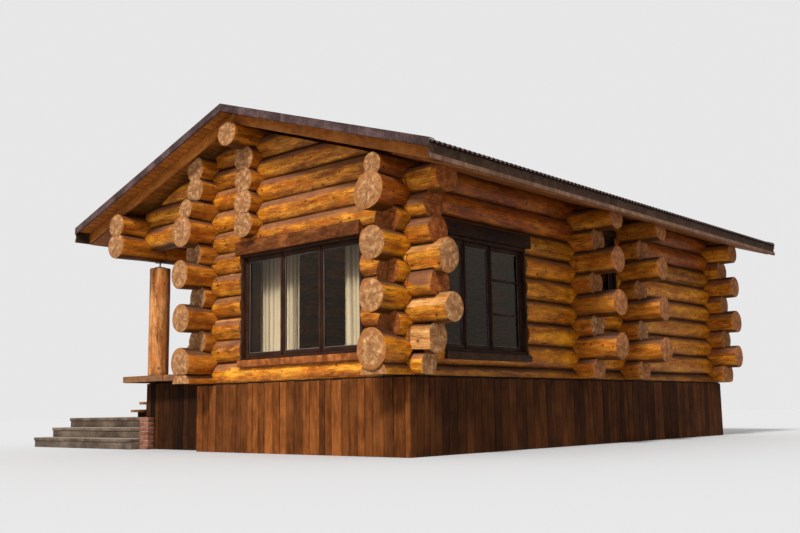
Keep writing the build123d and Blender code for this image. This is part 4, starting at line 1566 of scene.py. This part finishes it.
for i in range(count):
    y = inner[0] + i * pitch
    face = top - random.uniform(0, deck["uneven"])
    xSpan = (leftRim[1] + deck["gap"] / 2, right - random.uniform(0, deck["ragged"]))
    ySpan = (y + deck["gap"] / 2, y + pitch - deck["gap"] / 2)
    planks.append(addBoard(xSpan, ySpan, (face - deck["thick"], face), deckPlanks, random.random()))
for x in deck["joists"]:
    joist = ((x, x + deck["joistWidth"]), inner, (low, top - deck["joistDrop"]))
    planks.append(addBoard(*joist, skirtBoards, 0.4))
closePiece(planks, "deckPlanking", "deck_planks", "veranda_deck", bevel=0.004, segments=2)

# Upper flight: two planks a tread.
tread = {
    "x": -3.165,
    "y": (-3.799, -2.599),
    "run": 0.26,
    "rise": 0.1322,
    "landing": 0.504,
    "thick": 0.045,
    "plank": 0.1235,
    "gap": 0.003,
    "ragged": 0.006,
}
planks = []
for i in range(4):
    top = tread["landing"] + (i + 1) * tread["rise"]
    for number in range(2):
        x = tread["x"] + i * tread["run"] + number * (tread["plank"] + tread["gap"])
        front = tread["y"][0] + random.uniform(0, tread["ragged"])
        back = tread["y"][1] - random.uniform(0, tread["ragged"])
        spans = ((x, x + tread["plank"]), (front, back), (top - tread["thick"], top))
        planks.append(addBoard(*spans, deckPlanks, random.random()))
closePiece(planks, "upperTreadPlanks", "deck_planks", "upper_treads", bevel=0.004, segments=2)

# Lower steps: concrete slabs with worn edges on a slightly smaller mass.
step = {
    "x": (-5.005, -1.875),
    "y": (-4.615, -2.019),
    "run": 0.348,
    "rise": 0.168,
    "slab": 0.055,
    "inset": (0.012, 0.014, 0.01, 0.03),
    "seam": -3.3,
    "seamShift": 0.45,
    "seamGap": 0.004,
}
slabs = []
(left, right), (front, back) = step["x"], step["y"]
insetLeft, insetFront, insetBack, insetTop = step["inset"]
for i in range(3):
    y = front + i * step["run"]
    low, top = i * step["rise"], (i + 1) * step["rise"]
    mass = ((left + insetLeft, right), (y + insetFront, back - insetBack), (low, top - insetTop))
    slabs.append(addBoard(*mass, weatheredConcrete, 0.35))
    seam = step["seam"] + step["seamShift"] * i
    for xSpan in ((left, seam - step["seamGap"] / 2), (seam + step["seamGap"] / 2, right)):
        slab = (xSpan, (y, back), (top - step["slab"], top))
        slabs.append(addBoard(*slab, weatheredConcrete, random.random()))
closePiece(slabs, "concreteSteps", "concrete", "lower_steps", bevel=0.009, segments=3)

# Brick pier beside the steps: a whole brick in one course, two halves in the next.
pier = {
    "x": (-1.875, -1.635),
    "y": (-4.451, -4.331),
    "top": 0.504,
    "joint": 0.011,
    "courses": 7,
    "inset": 0.006,
}
(left, right), (front, back) = pier["x"], pier["y"]
rise, half = pier["top"] / pier["courses"], pier["joint"] / 2
inset = [(low + pier["inset"], high - pier["inset"]) for low, high in (pier["x"], pier["y"])]
bricks = [addBoard(*inset, (0, pier["top"] - 0.004), mortar, 0.5)]
for i in range(pier["courses"]):
    top = (i + 1) * rise - (half if i < pier["courses"] - 1 else 0)
    middle = (left + right) / 2
    halves = [(left, middle - 0.005), (middle + 0.005, right)]
    for xSpan in halves if i % 2 else [(left, right)]:
        bricks.append(addBoard(xSpan, (front, back), (i * rise + half, top), redBrick, random.random()))
closePiece(bricks, "brickPier", "brick", "brick_pier", bevel=0.004, segments=2)

# Windows: casing boards, a sash for each light, beads, spacers and glazing bars. Depths are measured
# inward from the casing's outer face.
sash = {
    "out": 0.17,
    "casing": 0.04,
    "depth": 0.34,
    "setback": 0.06,
    "thick": 0.07,
    "edge": 0.095,
    "bead": 0.011,
    "beadDepth": (0.01, 0.023),
    "bar": 0.028,
    "barDepth": (0.004, 0.023),
    "split": 0.004,
    "spacer": 0.007,
    "spacerDepth": (0.0195, 0.0225),
    "cover": 0.024,
    "coverDepth": (-0.012, 0.0),
}


def windowBlock(window, along, height, depth, tone, finish=darkTrim):
    along = [window["start"] + a for a in along]
    height = [window["bottom"] + h for h in height]
    reach = [sash["out"] - d for d in depth]
    # the window's shade darkens the block, as painted shade
    return wallBlock(window, along, height, reach, finish, tone + window["shade"])


def sashDepth(key):
    return tuple(sash["setback"] + depth for depth in sash[key])


def ringBlocks(window, along, rows, edges, depth, tones, finish=darkTrim):
    # four blocks about an opening; edges are how far they reach out on its left, right, bottom and top
    left, right, bottom, top = edges
    tall = (rows[0] - bottom, rows[1] + top)
    spans = [
        ((along[0] - left, along[0]), tall),
        ((along[1], along[1] + right), tall),
        (along, (rows[0] - bottom, rows[0])),
        (along, (rows[1], rows[1] + top)),
    ]
    return [windowBlock(window, *span, depth, tone, finish) for span, tone in zip(spans, tones)]


for name, window in windows.items():
    casing, width, height = sash["casing"], window["width"], window["height"]
    lights = window["lights"]
    meetings = [(a[1] + b[0]) / 2 for a, b in zip(lights, lights[1:])]
    inner = ((casing, width - casing), (casing, height - casing))
    parts = ringBlocks(window, *inner, [casing] * 4, (0, sash["depth"]), (0.3, 0.6, 0.4, 0.5))
    rows = (sash["edge"], height - sash["edge"])
    # the sashes meet a split apart, halfway between two lights
    starts = [casing, *(middle + sash["split"] / 2 for middle in meetings)]
    stops = [*(middle - sash["split"] / 2 for middle in meetings), width - casing]
    for light, start, stop in zip(lights, starts, stops):
        edges = (light[0] - start, stop - light[1], sash["edge"] - casing, sash["edge"] - casing)
        back = (sash["setback"], sash["setback"] + sash["thick"])
        parts += ringBlocks(window, light, rows, edges, back, [random.random()] * 4)
        bead, spacer = sash["bead"], sash["spacer"]
        along, tall = (light[0] + bead, light[1] - bead), (rows[0] + bead, rows[1] - bead)
        parts += ringBlocks(window, along, tall, [bead] * 4, sashDepth("beadDepth"), [0.5] * 4)
        along, short = (along[0] + spacer, along[1] - spacer), (tall[0] + spacer, tall[1] - spacer)
        ring = ([spacer] * 4, sashDepth("spacerDepth"), [0.5] * 4, paneSpacer)
        parts += ringBlocks(window, along, short, *ring)
    for number, share in window["bars"]:
        reach = (height * share - sash["bar"] / 2, height * share + sash["bar"] / 2)
        parts.append(windowBlock(window, lights[number], reach, sashDepth("barDepth"), 0.5))
    for middle in meetings:
        cover = (middle - sash["cover"] / 2, middle + sash["cover"] / 2)
        parts.append(windowBlock(window, cover, inner[1], sashDepth("coverDepth"), 0.4))
    closePiece(parts, name, "dark_trim", window["node"], bevel=0.0035, segments=2)

# Sills and lintel planks.
sills, lintels = [], []
# The front sill takes the lintels' finish and a high tone, so it is lighter: partly worn paint, partly
# painted sunlight. The lintels' tones make the right wall's lintels darker than the front's, as painted
# shade.
for window in windows.values():
    start, end = window["start"] + trim["play"], window["start"] + window["width"] - trim["play"]
    height = (window["bottom"] - trim["sillHeight"], window["bottom"])
    finish = lintelBoards if window["wall"] == "front" else darkTrim
    sills.append(wallBlock(window, (start, end), height, trim["sillReach"], finish, window["sillTone"]))
    along = (start - window["ears"][0], end + window["ears"][1])
    block = (window["lintel"], trim["lintelReach"], lintelBoards, window["lintelTone"])
    lintels.append(wallBlock(window, along, *block))
closePiece(sills, "sillPlanks", "dark_trim", "window_sills", bevel=0.012, segments=3)
closePiece(lintels, "lintelPlanks", "dark_trim", "window_lintels", bevel=0.006, segments=2)

# Entrance: frame, plank door with ledges, and a plain lever handle. The ledges' heights are measured
# from the door's foot, its middle and its head, the handle's places from the door's far edge.
door = {
    "y": (-0.285, 0.495),
    "z": (1.183, 3.013),
    "planks": 5,
    "plankGap": 0.002,
    "plankDepth": (0.0, 0.034),
    "coreDepth": (0.026, 0.035),
    "coreInset": 0.003,
    "ledgeHeight": 0.12,
    "ledgeInset": 0.04,
    "ledges": (0.22, 0.0, -0.34),
    "plateDepth": (-0.004, 0.002),
    "plateY": (-0.115, -0.075),
    "plateZ": (2.02, 2.24),
    "leverAt": (-0.045, -0.095, 2.15),
    "spindle": (-0.05, 0.0),
    "lever": (-0.21, -0.088),
}
low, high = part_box("entrance_frame")
frameX = (low.x, high.x)
jambs = [
    addBoard(frameX, (low.y, door["y"][0]), (low.z, high.z), darkTrim, 0.5),
    addBoard(frameX, (door["y"][1], high.y), (low.z, high.z), darkTrim, 0.3),
    addBoard(frameX, door["y"], (door["z"][1], high.z), darkTrim, 0.6),
    addBoard(frameX, door["y"], (low.z, door["z"][0]), darkTrim, 0.7),
]
closePiece(jambs, "entranceFrameBoards", "dark_trim", "entrance_frame", bevel=0.004, segments=2)
low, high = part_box("entrance_door")


def doorDepth(key):
    return [low.x + depth for depth in door[key]]


leaf = []
wide = (high.y - low.y) / door["planks"]
for i in range(door["planks"]):
    ySpan = (low.y + i * wide + door["plankGap"], low.y + (i + 1) * wide - door["plankGap"])
    leaf.append(addBoard(doorDepth("plankDepth"), ySpan, (low.z, high.z), darkTrim, random.random(), 2))
ySpan = (low.y + door["coreInset"], high.y - door["coreInset"])
leaf.append(addBoard(doorDepth("coreDepth"), ySpan, (low.z, high.z), darkCore, 0.5))
ySpan = (low.y + door["ledgeInset"], high.y - door["ledgeInset"])
for at, shift in zip((low.z, (low.z + high.z) / 2, high.z), door["ledges"]):
    zSpan = (at + shift, at + shift + door["ledgeHeight"])
    leaf.append(addBoard((doorDepth("plankDepth")[1], high.x), ySpan, zSpan, darkTrim, 0.4))
leaf = joinPieces(leaf, "entranceDoorLeaf")
bevelEdges(leaf, 0.003, 2)
plateY = [high.y + y for y in door["plateY"]]
leverX, leverY, leverZ = door["leverAt"]
handle = [
    addBoard(doorDepth("plateDepth"), plateY, door["plateZ"], galvanized, 0.5),
    roundBar(0, (0, high.y + leverY, leverZ), doorDepth("spindle"), 0.009, 16),
    roundBar(1, (low.x + leverX, 0, leverZ), [high.y + y for y in door["lever"]], 0.008, 16),
]
for part in handle[1:]:
    part.data.materials.append(galvanized)
    setTone(part, 0.5)
handle = joinPieces(handle, "doorHandle")
bevelEdges(handle, 0.002, 2)
closePiece([leaf, handle], "entranceDoorLeaf", "dark_trim", "entrance_door")

# Curtains: two gathered sheets that hang from the rail.
curtain = {
    "spans": [(2.59, 3.115), (0.825, 1.679)],
    "y": -4.173,
    "z": (1.163, 2.9),
    "pleat": 0.085,
    "fewest": 3,
    "depth": 0.021,
    "deepest": 0.0235,
    "sway": 0.006,
    "wander": 2.6,
    "columns": 9,
    "rows": 34,
}
height = curtain["z"][1] - curtain["z"][0]
for index, (left, right) in enumerate(curtain["spans"]):
    pleats = max(curtain["fewest"], round((right - left) / curtain["pleat"]))
    bpy.ops.mesh.primitive_grid_add(
        x_subdivisions=pleats * curtain["columns"],
        y_subdivisions=curtain["rows"],
        size=1,
        location=((left + right) / 2, curtain["y"], sum(curtain["z"]) / 2),
        rotation=(math.pi / 2, 0, 0),
    )
    cloth = bpy.context.object
    cloth.scale = (right - left, height, 1)
    applyPlace()
    folds = []
    for vertex in cloth.data.vertices:
        share = (vertex.co.x - left) / (right - left)
        drop = (curtain["z"][1] - vertex.co.z) / height
        wander = curtain["wander"] * noise.noise(Vector((share * 5, drop * 0.5, index * 7.3)))
        deep = curtain["depth"] * (1 + 0.2 * noise.noise(Vector((share * 9, drop * 1.4, index * 3.1))) * drop)
        turn = 2 * math.pi * share * pleats + wander * (0.5 + 0.5 * drop)
        fold = max(-curtain["deepest"], min(deep * math.sin(turn), curtain["deepest"]))
        vertex.co.y = curtain["y"] + fold
        vertex.co.x += curtain["sway"] * math.sin(turn * 2 + index) * min(share, 1 - share) * 4
        uneven = noise.noise(Vector((share * 6, 0.3 * drop, index * 5.7)))
        # fold is how far back in a fold a point lies, for the cloth's painted shade
        folds.append(0.5 - 0.5 * math.sin(turn) + 0.35 * uneven)
    cloth.data.attributes.new("fold", "FLOAT", "POINT").data.foreach_set("value", folds)
    # the map's u is measured along the cloth itself, row by row
    rows = {}
    for vertex in cloth.data.vertices:
        rows.setdefault(round(vertex.co.z, 3), []).append(vertex)
    walked = {}
    for row in rows.values():
        row.sort(key=lambda v: v.index)
        walked[row[0].index] = 0.0
        for before, vertex in zip(row, row[1:]):
            walked[vertex.index] = walked[before.index] + (vertex.co - before.co).length
    layer = cloth.data.uv_layers.new(name="clothMap")
    for loop in cloth.data.loops:
        point = cloth.data.vertices[loop.vertex_index].co
        layer.data[loop.index].uv = (walked[loop.vertex_index], point.z)
    cloth.name = f"frontCurtain{index + 1}"
    cloth.data.materials.append(sheerCloth)
    width = sum(polygon.area for polygon in cloth.data.polygons) / height
    placePiece(cloth, "curtain_cloth", "front_curtains", smooth=60)
    print("curtain", index + 1, "flat width", round(width, 3), "height", round(height, 3))

# Finishes of the frame's own pieces that stay.
kept = {
    "rafters": orangeRafters,
    "post_jacks": galvanized,
    "curtain_rail": railPaint,
    "stair_stringers": skirtFrame,
    "deck_bearers": skirtFrame,
    "window_glass": windowGlass,
    "ridge_cap": roofFlashing,
    "room_floors": floorSlab,
}
for name, finish in kept.items():
    mesh = nodes[name].data
    mesh.materials.clear()
    mesh.materials.append(finish)
print("frame pieces dressed")

# Daylight over a plain pale floor.
studio = {
    "sun": 3.4,
    "sunAngle": 9,
    "sunTurn": (44, 0, 17),
    "horizon": 0.26,
    "overhead": 0.72,
    "floor": 0.5,
    "floorSize": 160,
    "backdrop": 0.8,
}
bpy.ops.object.light_add(type="SUN", rotation=[math.radians(a) for a in studio["sunTurn"]])
sun = bpy.context.object
sun.name = "sun"
sun.data.energy = studio["sun"]
sun.data.angle = math.radians(studio["sunAngle"])
bpy.ops.mesh.primitive_plane_add(size=studio["floorSize"], location=(0, 0, 0))
floor = bpy.context.object
floor.name = "studioFloor"
floorFinish, tree = newFinish("studioFloor")
inputs = {"Base Color": opaque([studio["floor"]] * 3), "Roughness": 0.95}
shader = addNode(tree, "ShaderNodeBsdfPrincipled", inputs)
addNode(tree, "ShaderNodeOutputMaterial", {"Surface": shader.outputs[0]})
floor.data.materials.append(floorFinish)
world = bpy.data.worlds.new("softSky")
bpy.context.scene.world = world
world.use_nodes = True
tree = world.node_tree
tree.nodes.clear()
rays = addNode(tree, "ShaderNodeLightPath")
gaze = addNode(tree, "ShaderNodeTexCoord").outputs["Generated"]
high = addNode(tree, "ShaderNodeSeparateXYZ", {"Vector": gaze}).outputs["Z"]
strength = calc(tree, "MULTIPLY_ADD", between(tree, high, 0.0, 0.8), studio["overhead"], studio["horizon"])
sky = addNode(tree, "ShaderNodeBackground", {"Color": (1, 1, 1, 1), "Strength": strength})
backdrop = {"Color": opaque([studio["backdrop"]] * 3), "Strength": 1.0}
backdrop = addNode(tree, "ShaderNodeBackground", backdrop)
shares = {0: rays.outputs["Is Camera Ray"], 1: sky.outputs[0], 2: backdrop.outputs[0]}
shown = addNode(tree, "ShaderNodeMixShader", shares)
addNode(tree, "ShaderNodeOutputWorld", {"Surface": shown.outputs[0]})
bpy.context.scene.view_settings.view_transform = "Standard"
print("studio ready")
